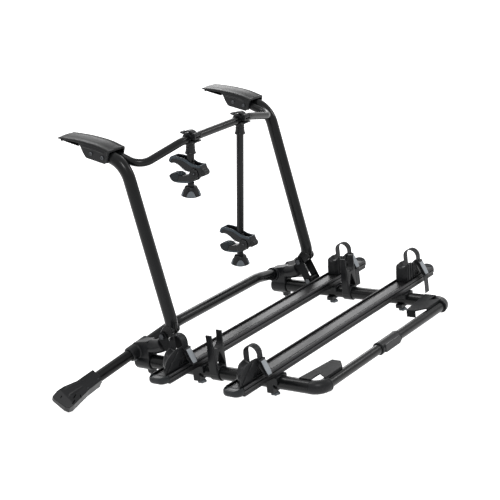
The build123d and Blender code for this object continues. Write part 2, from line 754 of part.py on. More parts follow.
for number, tray_y in enumerate(TRAY_YS, start=1):
    for name, strap_x in STRAP_XS.items():
        foot_share = FRONT_FOOT_SHARES[name]
        rear = [(strap_x + a * NOSE_L, cradle_z + b * cradle_rise) for a, b in RISE_SHARES]
        front = [(strap_x + a * foot_share * NOSE_L, cradle_z + b * cradle_rise) for a, b in SIDE_SHARES]
        with BuildPart() as cradle:
            for y, points in ((tray_y - CRADLE_HALF, rear), (tray_y + CRADLE_HALF, front)):
                with BuildSketch(facing(y)):
                    with BuildLine():
                        Polyline(*points, close=True)
                    make_face()
            loft(ruled=True)
            with BuildSketch(across(strap_x)):
                with Locations((tray_y, CHANNEL_Z)):
                    Circle(CHANNEL_R)
                with Locations((tray_y, CHANNEL_Z + CHANNEL_R)):
                    Rectangle(2 * CHANNEL_R, 2 * CHANNEL_R)
            extrude(amount=NOSE_L + CRADLE_BACK, both=True, mode=Mode.SUBTRACT)
            pocket = [(strap_x + a * NOSE_L, cradle_z + b * cradle_rise) for a, b in POCKET_SHARES]
            with BuildSketch(facing(tray_y - CRADLE_HALF + POCKET_D)):
                with BuildLine():
                    Polyline(*pocket, close=True)
                make_face()
            extrude(amount=POCKET_D, mode=Mode.SUBTRACT)
        save(cradle, f"cradle_{number}_{name}")

        tilt = radians(BUCKLE_TILT)
        down_y = -sin(tilt)
        down_z = -cos(tilt)
        slant_y = tray_y - strap_y
        off = (BUCKLE_BARREL_R + STRAP_T / 2 + RUN) / cos(tilt)
        pin = (slant_y - cos(tilt) * off, BUCKLE_TOP_Z + sin(tilt) * off)
        with BuildPart() as strap:
            with BuildSketch(across(strap_x)):
                with BuildLine():
                    loop_z = STRAP_TOP - strap_y
                    Line((tray_y + strap_y, STRAP_LOW), (tray_y + strap_y, loop_z))
                    ThreePointArc(
                        (tray_y + strap_y, loop_z), (tray_y, STRAP_TOP), (tray_y - strap_y, loop_z)
                    )
                    Line((slant_y, loop_z), (slant_y, BUCKLE_TOP_Z))
                    Line(
                        (slant_y, BUCKLE_TOP_Z),
                        (slant_y + BUCKLE_L * down_y, BUCKLE_TOP_Z + BUCKLE_L * down_z),
                    )
                    if name == "right":
                        Line(
                            (slant_y + BUCKLE_L * down_y, BUCKLE_TOP_Z + BUCKLE_L * down_z),
                            (slant_y + BUCKLE_L * down_y, TAIL_LOW),
                        )
                trace(line_width=STRAP_T)
            extrude(amount=STRAP_W / 2, both=True)
            for inner in (STRAP_W / 2, -STRAP_W / 2 - BUCKLE_EAR_T):
                with BuildSketch(across(strap_x + inner)):
                    with Locations(pin, (slant_y, pin[1])):
                        Circle(BUCKLE_EAR_R)
                    make_hull()
                    with Locations((slant_y + BUCKLE_EAR_R + STRAP_T / 2, pin[1])):
                        Rectangle(2 * BUCKLE_EAR_R, 2 * BUCKLE_EAR_R, mode=Mode.SUBTRACT)
                    with Locations(pin):
                        Circle(BUCKLE_PIN_R + PIN_PLAY, mode=Mode.SUBTRACT)
                extrude(amount=BUCKLE_EAR_T)
        save(strap, f"strap_{number}_{name}")

        with BuildPart() as buckle:
            with BuildSketch(across(strap_x)):
                with Locations(pin):
                    Circle(BUCKLE_BARREL_R)
                with BuildLine():
                    a = Vector(*pin)
                    along = Vector(down_y, down_z)
                    outward = Vector(-cos(tilt), sin(tilt))
                    Polyline(
                        a,
                        a + along * BUCKLE_L,
                        a + along * BUCKLE_L + outward * BUCKLE_T,
                        a + outward * BUCKLE_T,
                        close=True,
                    )
                make_face()
            extrude(amount=STRAP_W / 2 - RUN, both=True)
            with BuildSketch(across(strap_x)):
                with Locations(pin):
                    Circle(BUCKLE_PIN_R)
            extrude(amount=STRAP_W / 2 + BUCKLE_EAR_T, both=True)
        save(buckle, f"buckle_{number}_{name}")

# Cross bar between the arms
BAR_IN = 31.5
BAR_END = (HALF_SPAN - BAR_IN, 54.0, 634.0)
BAR_CORNER = (HALF_SPAN - BAR_IN, -50.0, 593.0)
BAR_RADII = (45.0, 100.0, 100.0, 45.0)

with BuildPart() as crossbar:
    with BuildLine() as bar_line:
        half = [BAR_END, BAR_CORNER, (BAR_BEND_X, BAR_Y, BAR_Z)]
        route = [hub_point(*p) for p in half] + [hub_point(-x, y, z) for x, y, z in reversed(half)]
        rounded_path([tuple(p) for p in route], BAR_RADII)
    with BuildSketch(start_plane(bar_line.line)):
        Circle(BAR_R)
        Circle(BAR_R - THIN_WALL, mode=Mode.SUBTRACT)
    sweep()
    with BuildSketch(across(0)):
        y = CLAMP_BOLTS["rear"]
        with Locations((y, HOUSING_Z + tan(pitch) * (y - HOUSING_Y))):
            Circle(CLAMP_BOLT_R)
    extrude(amount=HALF_SPAN, both=True, mode=Mode.SUBTRACT)
save(crossbar, "crossbar")

# Hook housings: two side plates under a skin that runs on as the blade and hooks over the trunk's edge
HOUSING_OVER = 23.0
HOUSING_W = 70.5
HOUSING_OUT = HALF_SPAN + HOUSING_OVER
HOUSING_IN = HOUSING_OUT - HOUSING_W
HOUSING_PLATE = 3.6
HOUSING_L = 189.0
HOUSING_FROM_Y = 16.0
HOUSING_FROM_Z = 608.5
OUTLINE_SHARES = (
    (0.063, 0.029), (0.0, 0.209), (0.238, 0.294), (0.561, 0.357), (0.847, 0.389), (1.0, 0.399),
    (0.968, 0.344), (0.950, 0.355), (0.602, 0.270), (0.566, 0.278), (0.487, 0.100), (0.111, 0.0),
)
HOLLOW_SHARES = ((-0.1, -0.1), (-0.1, 0.19), (0.238, 0.272), (0.54, 0.333), (0.54, -0.1))
EDGE_PAD_SHARES = (0.05, 0.94)
EDGE_PAD_T = 4.0
CLAMP_HEAD_R = 8.0
CLAMP_HEAD_H = 5.0


def housing_point(along, up):
    return (HOUSING_FROM_Y + along * HOUSING_L, HOUSING_FROM_Z + up * HOUSING_L)


for name, side in SIDES.items():
    with BuildPart() as housing:
        with BuildSketch(across(side * HOUSING_IN)):
            with BuildLine():
                Polyline(*[housing_point(a, b) for a, b in OUTLINE_SHARES], close=True)
            make_face()
        extrude(amount=side * (HOUSING_OUT - HOUSING_IN))
        with BuildSketch(across(side * (HOUSING_IN + HOUSING_PLATE))):
            with BuildLine():
                Polyline(*[housing_point(a, b) for a, b in HOLLOW_SHARES], close=True)
            make_face()
        extrude(amount=side * (HOUSING_OUT - HOUSING_IN - 2 * HOUSING_PLATE), mode=Mode.SUBTRACT)
        with BuildSketch(across(side * HOUSING_IN)):
            for y in CLAMP_BOLTS.values():
                with Locations((y, HOUSING_Z + tan(pitch) * (y - HOUSING_Y))):
                    Circle(CLAMP_BOLT_R)
        extrude(amount=side * (HOUSING_OUT - HOUSING_IN), mode=Mode.SUBTRACT)
    save(housing, f"hook_housing_{name}")

with BuildPart() as hook_pads:
    for side in SIDES.values():
        with BuildSketch(across(side * (HOUSING_IN + HOUSING_PLATE))):
            with BuildLine():
                back = Vector(*housing_point(*OUTLINE_SHARES[8]))
                tip = Vector(*housing_point(*OUTLINE_SHARES[7]))
                a = back + (tip - back) * EDGE_PAD_SHARES[0]
                b = back + (tip - back) * EDGE_PAD_SHARES[1]
                drop = Vector(0, -EDGE_PAD_T)
                Polyline(a, b, b + drop, a + drop, close=True)
            make_face()
        extrude(amount=side * (HOUSING_OUT - HOUSING_IN - 2 * HOUSING_PLATE))
save(hook_pads, "hook_pads")

with BuildPart() as hook_bolts:
    for side in SIDES.values():
        for y in CLAMP_BOLTS.values():
            at = (y, HOUSING_Z + tan(pitch) * (y - HOUSING_Y))
            with BuildSketch(across(side * HOUSING_IN)):
                with Locations(at):
                    Circle(CLAMP_BOLT_R)
            extrude(amount=side * (HOUSING_OUT - HOUSING_IN))
            for face, height in ((HOUSING_OUT, CLAMP_HEAD_H), (HOUSING_IN, -CLAMP_HEAD_H)):
                with BuildSketch(across(side * face)):
                    with Locations(at):
                        RegularPolygon(CLAMP_HEAD_R, side_count=6)
                extrude(amount=side * height)
save(hook_bolts, "hook_bolts")

# Frame holders: a clamp on the cross bar, a stem that hangs plumb, and a claw that grips a bike's frame
CLAMP_R = 19.0
CLAMP_W = 32.0
EAR_OUT = 30.0
EAR_T = 5.0
EAR_GAP = 4.0
EAR_W = 22.0
STEM_R = 11.5
COLLAR_TOP_R = 13.5
COLLAR_LOW_R = 16.0
COLLAR_NECK = 27.0
COLLAR_END = 46.0
LEVER_PIN_R = 3.0
LEVER_EAR_R = 7.0
LEVER_T = 5.0
LEVER_FROM = 128.0
LEVER_TO = 35.0
LEVER_TIP = (31.0, 16.0)
LEVER_W = 20.0
CLAW_PIVOT_BACK = 24.0
CLAW_L = 99.0
CLAW_HALF = 15.0
CLAW_PIN_R = 5.0
CHEEK_IN = 11.0
DISC_R = 15.5
DISC_OUT = 17.5
SOCKET_TOP = 33.0
SOCKET_LOW = 17.0
SCREW_R = 4.0
SCREW_TOP = 5.0
SCREW_SLOT_HALF = 6.0
SCREW_SLOT_TOP = 14.0
GRIP_TOP = -46.0
GRIP_LOW = -76.0
GRIP_TOP_R = 19.0
GRIP_LOW_R = 29.5
GRIP_NECK_R = 10.0
GRIP_NECK_TOP = -35.0
JAW_TURN = 16.0
NUB_R = 11.0
NUB_HALF = 13.0
UPPER_TOP_SHARES = (
    (0.96, 0.23), (0.87, 0.39), (0.67, 0.415), (0.44, 0.40), (0.27, 0.355), (0.10, 0.29), (-0.10, 0.275),
    (-0.23, 0.29),
)
UPPER_BACK_SHARES = ((-0.30, 0.16), (-0.16, -0.10), (0.0, -0.12))
NUB_SHARE = (-0.27, 0.07)
ROOT_SHARE = (0.14, -0.18)
UPPER_LOW_SHARES = ((0.19, 0.02), (0.33, 0.04), (0.44, 0.09), (0.59, 0.176), (0.75, 0.222), (0.92, 0.185))
LOWER_TOP_SHARES = ((0.95, -0.24), (0.86, -0.165), (0.68, -0.125), (0.50, -0.157), (0.33, -0.113), (0.18, -0.055))
LOWER_LOW_SHARES = ((0.02, -0.245), (0.21, -0.32), (0.39, -0.36), (0.60, -0.387), (0.78, -0.388), (0.89, -0.335))


for name, side in SIDES.items():
    bar_x = HOLDER_XS[name]
    drop = HOLDER_DROPS[name]
    hang = Plane(
        origin=hub_point(bar_x, BAR_Y, BAR_Z), x_dir=(0, cos(plumb), sin(plumb)), z_dir=(1, 0, 0)
    )
    pivot = (-CLAW_PIVOT_BACK, -drop)


    def beside(offset):
        """Plane across X at an offset from the holder's middle: local axes are ahead and up."""
        return hang.offset(offset)


    def below(depth):
        """Plane square to the stem, depth below the cross bar's axis."""
        return Plane(origin=hang.from_local_coords((0, -depth, 0)), x_dir=(1, 0, 0), z_dir=-hang.y_dir)


    def jaw_point(along, up):
        return (pivot[0] + along * CLAW_L, pivot[1] + up * CLAW_L)


    lever_pin = (LEVER_EAR_R - EAR_OUT, EAR_GAP / 2 + EAR_T + RUN + LEVER_EAR_R)
    turned = Vector(*ROOT_SHARE).rotate(Axis.Z, JAW_TURN)
    turned_root = (turned.X, turned.Y)

    with BuildPart() as clamp:
        with BuildSketch(beside(0)):
            Circle(CLAMP_R)
            with Locations((-EAR_OUT / 2, 0)):
                Rectangle(EAR_OUT, EAR_GAP + 2 * EAR_T)
        extrude(amount=CLAMP_W / 2, both=True)
        with BuildSketch(beside(0)):
            with Locations(lever_pin):
                Circle(LEVER_EAR_R)
            with Locations((LEVER_EAR_R - EAR_OUT, EAR_GAP / 2 + EAR_T / 2)):
                Rectangle(2 * LEVER_EAR_R, EAR_T)
            make_hull()
        extrude(amount=CLAMP_W / 2, both=True)
        with BuildSketch(beside(0)):
            with Locations(lever_pin):
                Circle(LEVER_EAR_R + RUN)
            Circle(CLAMP_R + LEVER_EAR_R * 2 + LEVER_T)
            Circle(CLAMP_R, mode=Mode.SUBTRACT)
            with Locations((0, -CLAMP_R)):
                Rectangle(4 * EAR_OUT, 2 * (CLAMP_R + EAR_GAP / 2 + EAR_T), mode=Mode.SUBTRACT)
        extrude(amount=LEVER_W / 2 + RUN, both=True, mode=Mode.SUBTRACT)
        with BuildSketch(beside(0)):
            with Locations(lever_pin):
                Circle(LEVER_PIN_R + PIN_PLAY)
        extrude(amount=CLAMP_W / 2, both=True, mode=Mode.SUBTRACT)
        with BuildSketch(below(0)):
            Circle(COLLAR_TOP_R)
        extrude(amount=COLLAR_NECK)
        with BuildSketch(below(COLLAR_NECK)):
            Circle(COLLAR_TOP_R)
        with BuildSketch(below(COLLAR_END)):
            Circle(COLLAR_LOW_R)
        loft()
        with BuildSketch(beside(0)):
            with Locations((-EAR_OUT, 0)):
                Rectangle(2 * (EAR_OUT - BAR_R), EAR_GAP)
        extrude(amount=CLAMP_W, both=True, mode=Mode.SUBTRACT)
        with BuildSketch(beside(0)):
            Circle(BAR_R + PIN_PLAY)
        extrude(amount=CLAMP_W, both=True, mode=Mode.SUBTRACT)
        with BuildSketch(below(CLAMP_R)):
            Circle(STEM_R)
        extrude(amount=COLLAR_END, mode=Mode.SUBTRACT)
    save(clamp, f"holder_clamp_{name}")

    with BuildPart() as stem:
        with BuildSketch(below(CLAMP_R)):
            Circle(STEM_R)
            Circle(STEM_R - THIN_WALL, mode=Mode.SUBTRACT)
        extrude(amount=drop - SOCKET_LOW - CLAMP_R - RUN)
    save(stem, f"holder_stem_{name}")

    with BuildPart() as claw:
        with BuildSketch(beside(0)):
            with BuildLine():
                top = [jaw_point(a, b) for a, b in UPPER_TOP_SHARES]
                low = [jaw_point(a, b) for a, b in UPPER_LOW_SHARES]
                Spline(*top)
                Polyline(top[-1], *[jaw_point(a, b) for a, b in UPPER_BACK_SHARES], low[0])
                Spline(*low)
                Line(low[-1], top[0])
            make_face()
        extrude(amount=CLAW_HALF, both=True)
        with BuildSketch(beside(0)):
            with Locations(jaw_point(*NUB_SHARE)):
                Circle(NUB_R)
        extrude(amount=NUB_HALF, both=True)
        with BuildSketch(beside(0)):
            with Locations(pivot):
                Circle(CHEEK_IN)
        extrude(amount=CHEEK_IN - RUN, both=True)
        for offset in (CHEEK_IN - RUN, -CHEEK_IN + RUN):
            with BuildSketch(beside(offset)):
                with Locations(pivot):
                    Circle(DISC_R + RUN)
                with Locations(jaw_point(*ROOT_SHARE), jaw_point(*turned_root)):
                    Circle(NUB_R + RUN)
                make_hull()
            extrude(amount=CLAW_HALF if offset > 0 else -CLAW_HALF, mode=Mode.SUBTRACT)
        with BuildSketch(beside(0)):
            with Locations(pivot):
                Circle(CLAW_PIN_R + PIN_PLAY)
        extrude(amount=CLAW_HALF, both=True, mode=Mode.SUBTRACT)
        with BuildSketch(below(drop - SOCKET_TOP - CLAW_HALF)):
            Circle(STEM_R + PIN_PLAY)
        extrude(amount=SOCKET_TOP + CLAW_HALF - SOCKET_LOW, mode=Mode.SUBTRACT)
        with BuildSketch(beside(0)):
            with Locations((0, -drop + SCREW_SLOT_TOP / 2)):
                Rectangle(CLAW_PIVOT_BACK, SCREW_SLOT_TOP)
        extrude(amount=SCREW_SLOT_HALF, both=True, mode=Mode.SUBTRACT)
    save(claw, f"claw_{name}")

    with BuildPart() as jaw:
        with BuildSketch(beside(0)):
            with BuildLine():
                top = [jaw_point(a, b) for a, b in LOWER_TOP_SHARES]
                low = [jaw_point(a, b) for a, b in LOWER_LOW_SHARES]
                Spline(*top)
                Polyline(top[-1], jaw_point(*ROOT_SHARE), low[0])
                Spline(*low)
                Line(low[-1], top[0])
            make_face()
        extrude(amount=CLAW_HALF, both=True)
        for offset in (CHEEK_IN, -DISC_OUT):
            with BuildSketch(beside(offset)):
                with Locations(pivot):
                    Circle(DISC_R)
                with Locations(jaw_point(*ROOT_SHARE)):
                    Circle(NUB_R)
                make_hull()
            extrude(amount=DISC_OUT - CHEEK_IN)
        with BuildSketch(beside(0)):
            with Locations(pivot):
                Circle(CLAW_PIN_R)
        extrude(amount=DISC_OUT, both=True)
        with BuildSketch(below(drop - SCREW_SLOT_TOP)):
            Circle(SCREW_R + PIN_PLAY)
        extrude(amount=CLAW_L, mode=Mode.SUBTRACT)
    save(jaw, f"jaw_{name}")

    with BuildPart() as knob:
        with BuildSketch(below(drop - SCREW_TOP)):
            Circle(SCREW_R)
        extrude(amount=SCREW_TOP - GRIP_TOP)
        with BuildSketch(below(drop - GRIP_NECK_TOP)):
            Circle(GRIP_NECK_R)
        extrude(amount=GRIP_NECK_TOP - GRIP_TOP)
        with BuildSketch(below(drop - GRIP_TOP)):
            Circle(GRIP_TOP_R)
        with BuildSketch(below(drop - GRIP_LOW)):
            Circle(GRIP_LOW_R)
        loft()
    save(knob, f"claw_knob_{name}")

    with BuildPart() as lever:
        with BuildSketch(beside(0)):
            with Locations(lever_pin):
                Circle(LEVER_EAR_R)
            with BuildLine():
                reach = CLAMP_R + LEVER_T
                over = CenterArc((0, 0), reach, LEVER_FROM, LEVER_TO - LEVER_FROM)
                Line(lever_pin, over @ 0)
                Line(over @ 1, LEVER_TIP)
            trace(line_width=LEVER_T)
        extrude(amount=LEVER_W / 2, both=True)
        with BuildSketch(beside(0)):
            with Locations(lever_pin):
                Circle(LEVER_PIN_R)
        extrude(amount=CLAMP_W / 2, both=True)
    save(lever, f"holder_lever_{name}")
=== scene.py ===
from math import cos, pi, radians, sin, tan

import bmesh
import bpy
from mathutils import Matrix, Vector


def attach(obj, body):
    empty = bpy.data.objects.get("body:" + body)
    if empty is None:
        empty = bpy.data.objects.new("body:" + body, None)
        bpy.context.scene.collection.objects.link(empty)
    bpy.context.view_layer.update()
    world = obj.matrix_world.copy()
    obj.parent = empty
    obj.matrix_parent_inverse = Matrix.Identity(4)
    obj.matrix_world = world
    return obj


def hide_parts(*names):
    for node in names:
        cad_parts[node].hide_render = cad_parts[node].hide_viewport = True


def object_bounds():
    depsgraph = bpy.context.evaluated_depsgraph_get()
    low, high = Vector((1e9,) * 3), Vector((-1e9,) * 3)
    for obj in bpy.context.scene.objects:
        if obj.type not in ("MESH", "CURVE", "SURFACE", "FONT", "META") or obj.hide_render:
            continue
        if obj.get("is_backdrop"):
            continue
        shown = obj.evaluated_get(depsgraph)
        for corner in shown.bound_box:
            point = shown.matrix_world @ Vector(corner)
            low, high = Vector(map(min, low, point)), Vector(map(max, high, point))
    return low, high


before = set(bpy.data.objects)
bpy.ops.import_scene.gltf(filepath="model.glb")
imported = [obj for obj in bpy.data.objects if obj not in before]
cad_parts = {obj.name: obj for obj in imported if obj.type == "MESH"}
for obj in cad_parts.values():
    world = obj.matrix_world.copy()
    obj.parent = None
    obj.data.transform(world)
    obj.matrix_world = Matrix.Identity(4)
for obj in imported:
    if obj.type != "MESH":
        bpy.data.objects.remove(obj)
cad_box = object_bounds()

# Camera: a long studio lens at the rack's rear left, a little above it. The rack was photographed in its
# working position, so the view is rolled a few degrees against the platform.
LENS_MM = 99.92
SENSOR_MM = 36.0
CAMERA_AT = (-3.2443, -2.8331, 0.7791)
CAMERA_UP = Vector((0.2951, 0.0776, 0.9523))
CAMERA_LOOK = Vector((0.7618, 0.5825, -0.2835))


def placed(name, data):
    """A new object in the scene, at the origin."""
    thing = bpy.data.objects.new(name, data)
    bpy.context.scene.collection.objects.link(thing)
    return thing


camera = placed("camera", bpy.data.cameras.new("camera"))
camera.data.lens = LENS_MM
camera.data.sensor_width = SENSOR_MM
camera.data.sensor_fit = "HORIZONTAL"
look = CAMERA_LOOK.normalized()
right = look.cross(CAMERA_UP).normalized()
camera.matrix_world = Matrix((right, right.cross(look), -look)).transposed().to_4x4()
camera.matrix_world.translation = CAMERA_AT
bpy.context.scene.camera = camera

# Studio: an endless white floor under the rack, a soft box above and behind the camera, a strip on the
# right that draws the bright lines along the round tubes, a lamp overhead and a panel for the far edges.
FLOOR_HALF_M = 12.0
FLOOR_GAP_M = 0.004
FLOOR_HEX = "#f4f4f4"
WHITE = "#ffffff"
SURROUND = 0.35
FLOOR_GLOW = 0.95
SQUARE = ((-1, -1), (1, -1), (1, 1), (-1, 1))
LAMPS = (
    ("softbox", (-2.6, -2.4, 3.2), (0, -0.3, -0.4), 0.8, 66.0),
    ("strip", (3.0, -2.6, 1.9), (0, -0.3, -0.4), 0.9, 26.0),
    ("overhead", (-0.4, 1.4, 3.4), (0, -0.2, -0.4), 1.4, 44.0),
    ("far_panel", (4.2, 2.6, 1.5), (0, -0.4, -0.6), 1.8, 40.0),
)


def linear(code):
    """sRGB hex to the linear colour that shaders take."""
    parts = [int(code[i:i + 2], 16) / 255 for i in (1, 3, 5)]
    return tuple(p / 12.92 if p <= 0.04045 else ((p + 0.055) / 1.055) ** 2.4 for p in parts) + (1.0,)


def blank(owner):
    """The node tree of a material or a world, emptied."""
    owner.use_nodes = True
    owner.node_tree.nodes.clear()
    return owner.node_tree


def add(tree, kind, links=(), **settings):
    """Adds a node with its settings; links pairs an input with a socket or a value."""
    node = tree.nodes.new(kind)
    for name, value in settings.items():
        setattr(node, name, value)
    for key, value in dict(links).items():
        if isinstance(value, bpy.types.NodeSocket):
            tree.links.new(value, node.inputs[key])
        else:
            node.inputs[key].default_value = value
    return node


def maths(tree, operation, first, second):
    """The result of one operation on two sockets or values."""
    return add(tree, "ShaderNodeMath", {0: first, 1: second}, operation=operation).outputs[0]


def where_seen(tree, unseen, seen):
    """Picks the second shader for rays from the camera, from reflections and through glass."""
    rays = add(tree, "ShaderNodeLightPath").outputs
    either = maths(tree, "MAXIMUM", rays["Is Camera Ray"], rays["Is Glossy Ray"])
    eye = maths(tree, "MAXIMUM", either, rays["Is Transmission Ray"])
    return add(tree, "ShaderNodeMixShader", {0: eye, 1: unseen.outputs[0], 2: seen.outputs[0]}).outputs[0]


world = bpy.data.worlds.new("studio")
sky = blank(world)
soft, plain = (add(sky, "ShaderNodeBackground", {"Color": linear(WHITE), "Strength": strength})
               for strength in (SURROUND, 1.0))
add(sky, "ShaderNodeOutputWorld", {"Surface": where_seen(sky, soft, plain)})
bpy.context.scene.world = world
bpy.context.scene.view_settings.view_transform = "Standard"

paper = bpy.data.materials.new("white_paper_sweep")
sheet = blank(paper)
matte = add(sheet, "ShaderNodeBsdfDiffuse", {"Color": linear(FLOOR_HEX)})
glow = add(sheet, "ShaderNodeEmission", {"Color": linear(WHITE), "Strength": FLOOR_GLOW})
both = add(sheet, "ShaderNodeAddShader", {0: matte.outputs[0], 1: glow.outputs[0]})
add(sheet, "ShaderNodeOutputMaterial", {"Surface": where_seen(sheet, matte, both)})
floor_z = cad_box[0].z - FLOOR_GAP_M
floor_mesh = bpy.data.meshes.new("floor")
floor_mesh.from_pydata([(x * FLOOR_HALF_M, y * FLOOR_HALF_M, floor_z) for x, y in SQUARE], [], [(0, 1, 2, 3)])
floor_mesh.materials.append(paper)
placed("floor", floor_mesh)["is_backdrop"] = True

for name, place, aim, size, power in LAMPS:
    lamp = placed(name, bpy.data.lights.new(name, "AREA"))
    lamp.data.size = size
    lamp.data.energy = power
    lamp.location = place
    lamp.visible_camera = False
    lamp.rotation_euler = (Vector(aim) - Vector(place)).to_track_quat("-Z", "Y").to_euler()

# Frame tubes: drawn steel tube, bent cold and powder coated black. The arms, side tubes, rear tube, foot
# bar, cross bar and holder stems keep their CAD solids. The coat is satin with a fine orange peel.
PEEL_MM = 1.6
GLOSS_SPREAD = 0.06


def surface(tree, pattern, dark, light, rough, spread, **inputs):
    """A material's shader: two shades and uneven gloss that follow one pattern, and its other inputs."""
    shades = add(tree, "ShaderNodeMix", {0: pattern, 6: linear(dark), 7: linear(light)}, data_type="RGBA")
    gloss = add(tree, "ShaderNodeMapRange", {0: pattern, 3: rough - spread, 4: rough + spread})
    body = add(tree, "ShaderNodeBsdfPrincipled",
               {"Base Color": shades.outputs[2], "Roughness": gloss.outputs[0], **inputs})
    add(tree, "ShaderNodeOutputMaterial", {"Surface": body.outputs[0]})


def finish(name, dark, light, rough, grain_mm, depth, patch_mm=45.0, metal=0.0, edge_mm=0.0, shine=0.16):
    """Two close shades in soft patches, uneven gloss and a fine grain. Where a CAD solid is sharp, edge_mm
    rounds its edges in the shading, as the real radius does."""
    material = bpy.data.materials.new(name)
    tree = blank(material)
    coords = add(tree, "ShaderNodeTexCoord").outputs["Object"]
    patches, grain = (
        add(tree, "ShaderNodeTexNoise", {"Vector": coords, "Scale": 1000 / mm, "Detail": detail})
        for mm, detail in ((patch_mm, 4.0), (grain_mm, 2.0)))
    links = {"Height": grain.outputs[0], "Strength": depth, "Distance": grain_mm / 8000}
    if edge_mm:
        links["Normal"] = add(tree, "ShaderNodeBevel", {"Radius": edge_mm / 1000}, samples=4).outputs[0]
    bump = add(tree, "ShaderNodeBump", links)
    surface(tree, patches.outputs[0], dark, light, rough, GLOSS_SPREAD,
            **{"Metallic": metal, "Specular IOR Level": shine, "Normal": bump.outputs[0]})
    return material


def clothe(nodes, material):
    """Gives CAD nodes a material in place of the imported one."""
    for node in nodes:
        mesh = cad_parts[node].data
        for index in range(len(mesh.materials)):
            mesh.materials[index] = material


powder_coat = finish("powder_coated_steel", "#0e0f10", "#151617", 0.25, PEEL_MM, 0.08, edge_mm=1.0,
                     shine=0.2)
clothe(["arm_left", "arm_right", "side_tube_left", "side_tube_right", "rear_tube", "foot_bar", "crossbar",
        "holder_stem_left", "holder_stem_right"], powder_coat)

# Pressed steel parts: the corner braces, the strut plates and the screws. The plates are stamped from sheet
# and coated with the tubes, the screws are black zinc.
pressed_steel = finish("pressed_and_coated_steel", "#0f1011", "#17181a", 0.5, PEEL_MM, 0.1, edge_mm=1.4,
                       shine=0.1)
black_zinc = finish("black_zinc_steel", "#3b3c3e", "#55575a", 0.34, 1.2, 0.15, patch_mm=9.0, metal=1.0,
                    edge_mm=0.6)
clothe(["corner_braces", "strut_plates"], pressed_steel)
clothe(["strut_bolts", "hub_screws", "hook_bolts"], black_zinc)

# Moulded nylon parts: hub castings, corners, forks, feet, clamps and brackets are glass filled nylon, with
# generous radii. Each copies its CAD solid, which is fused, rounded and thinned as one mould would do.
SPARK_MM = 1.1
nylon = finish("moulded_glass_filled_nylon", "#101113", "#1b1c1e", 0.38, SPARK_MM, 0.15, shine=0.22)
HUB_Y = -198.0
HUB_Z = -676.0
HALF_SPAN = 361.0
SIDES = {"left": -1, "right": 1}
WELD_M = 1e-6


def hub(x, y, z):
    """Metres in the shared frame, from mm counted from the hub line, as part.py counts them."""
    return Vector((x, HUB_Y + y, HUB_Z + z)) / 1000


def upright(origin, turn=Matrix.Identity(4)):
    """Frame for a piece drawn in mm, from its origin in metres: square with the shared one, or turned."""
    return Matrix.Translation(origin) @ turn @ Matrix.Scale(0.001, 4)


def local(origin, x_dir, y_dir):
    """Frame like upright's, from two of its axes."""
    x_dir = Vector(x_dir).normalized()
    z_dir = x_dir.cross(Vector(y_dir)).normalized()
    return upright(origin, Matrix((x_dir, z_dir.cross(x_dir), z_dir)).transposed().to_4x4())


def crosswise(origin):
    """Frame whose Z runs across the rack, from left to right."""
    return local(origin, (0, 1, 0), (0, 0, 1))


hub_frame = upright(hub(0, 0, 0))


def welded(mesh, outwards):
    """Merges a mesh's double points, and turns its faces outwards where they were drawn either way."""
    work = bmesh.new()
    work.from_mesh(mesh)
    bmesh.ops.remove_doubles(work, verts=work.verts, dist=WELD_M)
    if outwards:
        bmesh.ops.recalc_face_normals(work, faces=work.faces)
    work.to_mesh(mesh)
    work.free()
    return mesh


def settle(piece, crisp=38):
    """Bakes a piece's modifiers into its mesh and shades it smooth up to a crease angle."""
    shaped = bpy.data.meshes.new_from_object(piece.evaluated_get(bpy.context.evaluated_depsgraph_get()))
    piece.modifiers.clear()
    old = piece.data
    piece.data = shaped
    shaped.name = piece.name
    bpy.data.meshes.remove(old)
    shaped.shade_smooth()
    shaped.set_sharp_from_angle(angle=radians(crisp))
    return piece


def modify(piece, kind, **settings):
    """Adds a modifier with its settings."""
    modifier = piece.modifiers.new(kind.lower(), kind)
    for key, value in settings.items():
        setattr(modifier, key, value)
    return modifier


def rounded(piece, edge_mm, steps=2, crisp=38):
    """Rounds a piece's sharp edges by a radius in mm."""
    modify(piece, "BEVEL", width=edge_mm / 1000, segments=steps, limit_method="ANGLE",
           angle_limit=radians(30))
    return settle(piece, crisp)


def copy_of(node, name, material):
    """A closed copy of a CAD node's mesh, its loose triangles merged."""
    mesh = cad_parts[node].data.copy()
    mesh.name = name
    mesh.materials.clear()
    mesh.materials.append(material)
    for poly in welded(mesh, outwards=False).polygons:
        poly.material_index = 0
    return placed(name, mesh)


def joined(pieces, name):
    """One object from several, without fusing them."""
    body = pieces[0]
    work = bmesh.new()
    for piece in pieces:
        work.from_mesh(piece.data)
    work.to_mesh(body.data)
    work.free()
    for piece in pieces[1:]:
        bpy.data.objects.remove(piece)
    body.name = name
    return body


def fused(pieces, voxel_mm, rounds, keep=0.3, name=""):
    """Joins closed pieces into one moulded skin and rounds every edge of it."""
    body = joined(pieces, name or pieces[0].name)
    modify(body, "REMESH", mode="VOXEL", voxel_size=voxel_mm / 1000)
    modify(body, "SMOOTH", factor=0.5, iterations=rounds)
    modify(body, "DECIMATE", ratio=keep)
    return settle(body, crisp=46)


def loft(name, rings, place, material):
    """Skins closed rings of equal count, in mm on a frame, and caps both ends."""
    count = len(rings[0])
    last = (len(rings) - 1) * count
    faces = [(i + k, i + (k + 1) % count, i + count + (k + 1) % count, i + count + k)
             for i in range(0, last, count) for k in range(count)]
    faces += [tuple(range(count)), tuple(range(last, last + count))]
    mesh = bpy.data.meshes.new(name)
    mesh.from_pydata([place @ Vector(p) for ring in rings for p in ring], [], faces)
    mesh.materials.append(material)
    return placed(name, welded(mesh, outwards=True))


def ring(count, radius_at, z):
    """Points round a frame's Z, where radius_at gives the radius at an angle."""
    turns = [2 * pi * k / count for k in range(count)]
    return [(radius_at(a) * cos(a), radius_at(a) * sin(a), z) for a in turns]


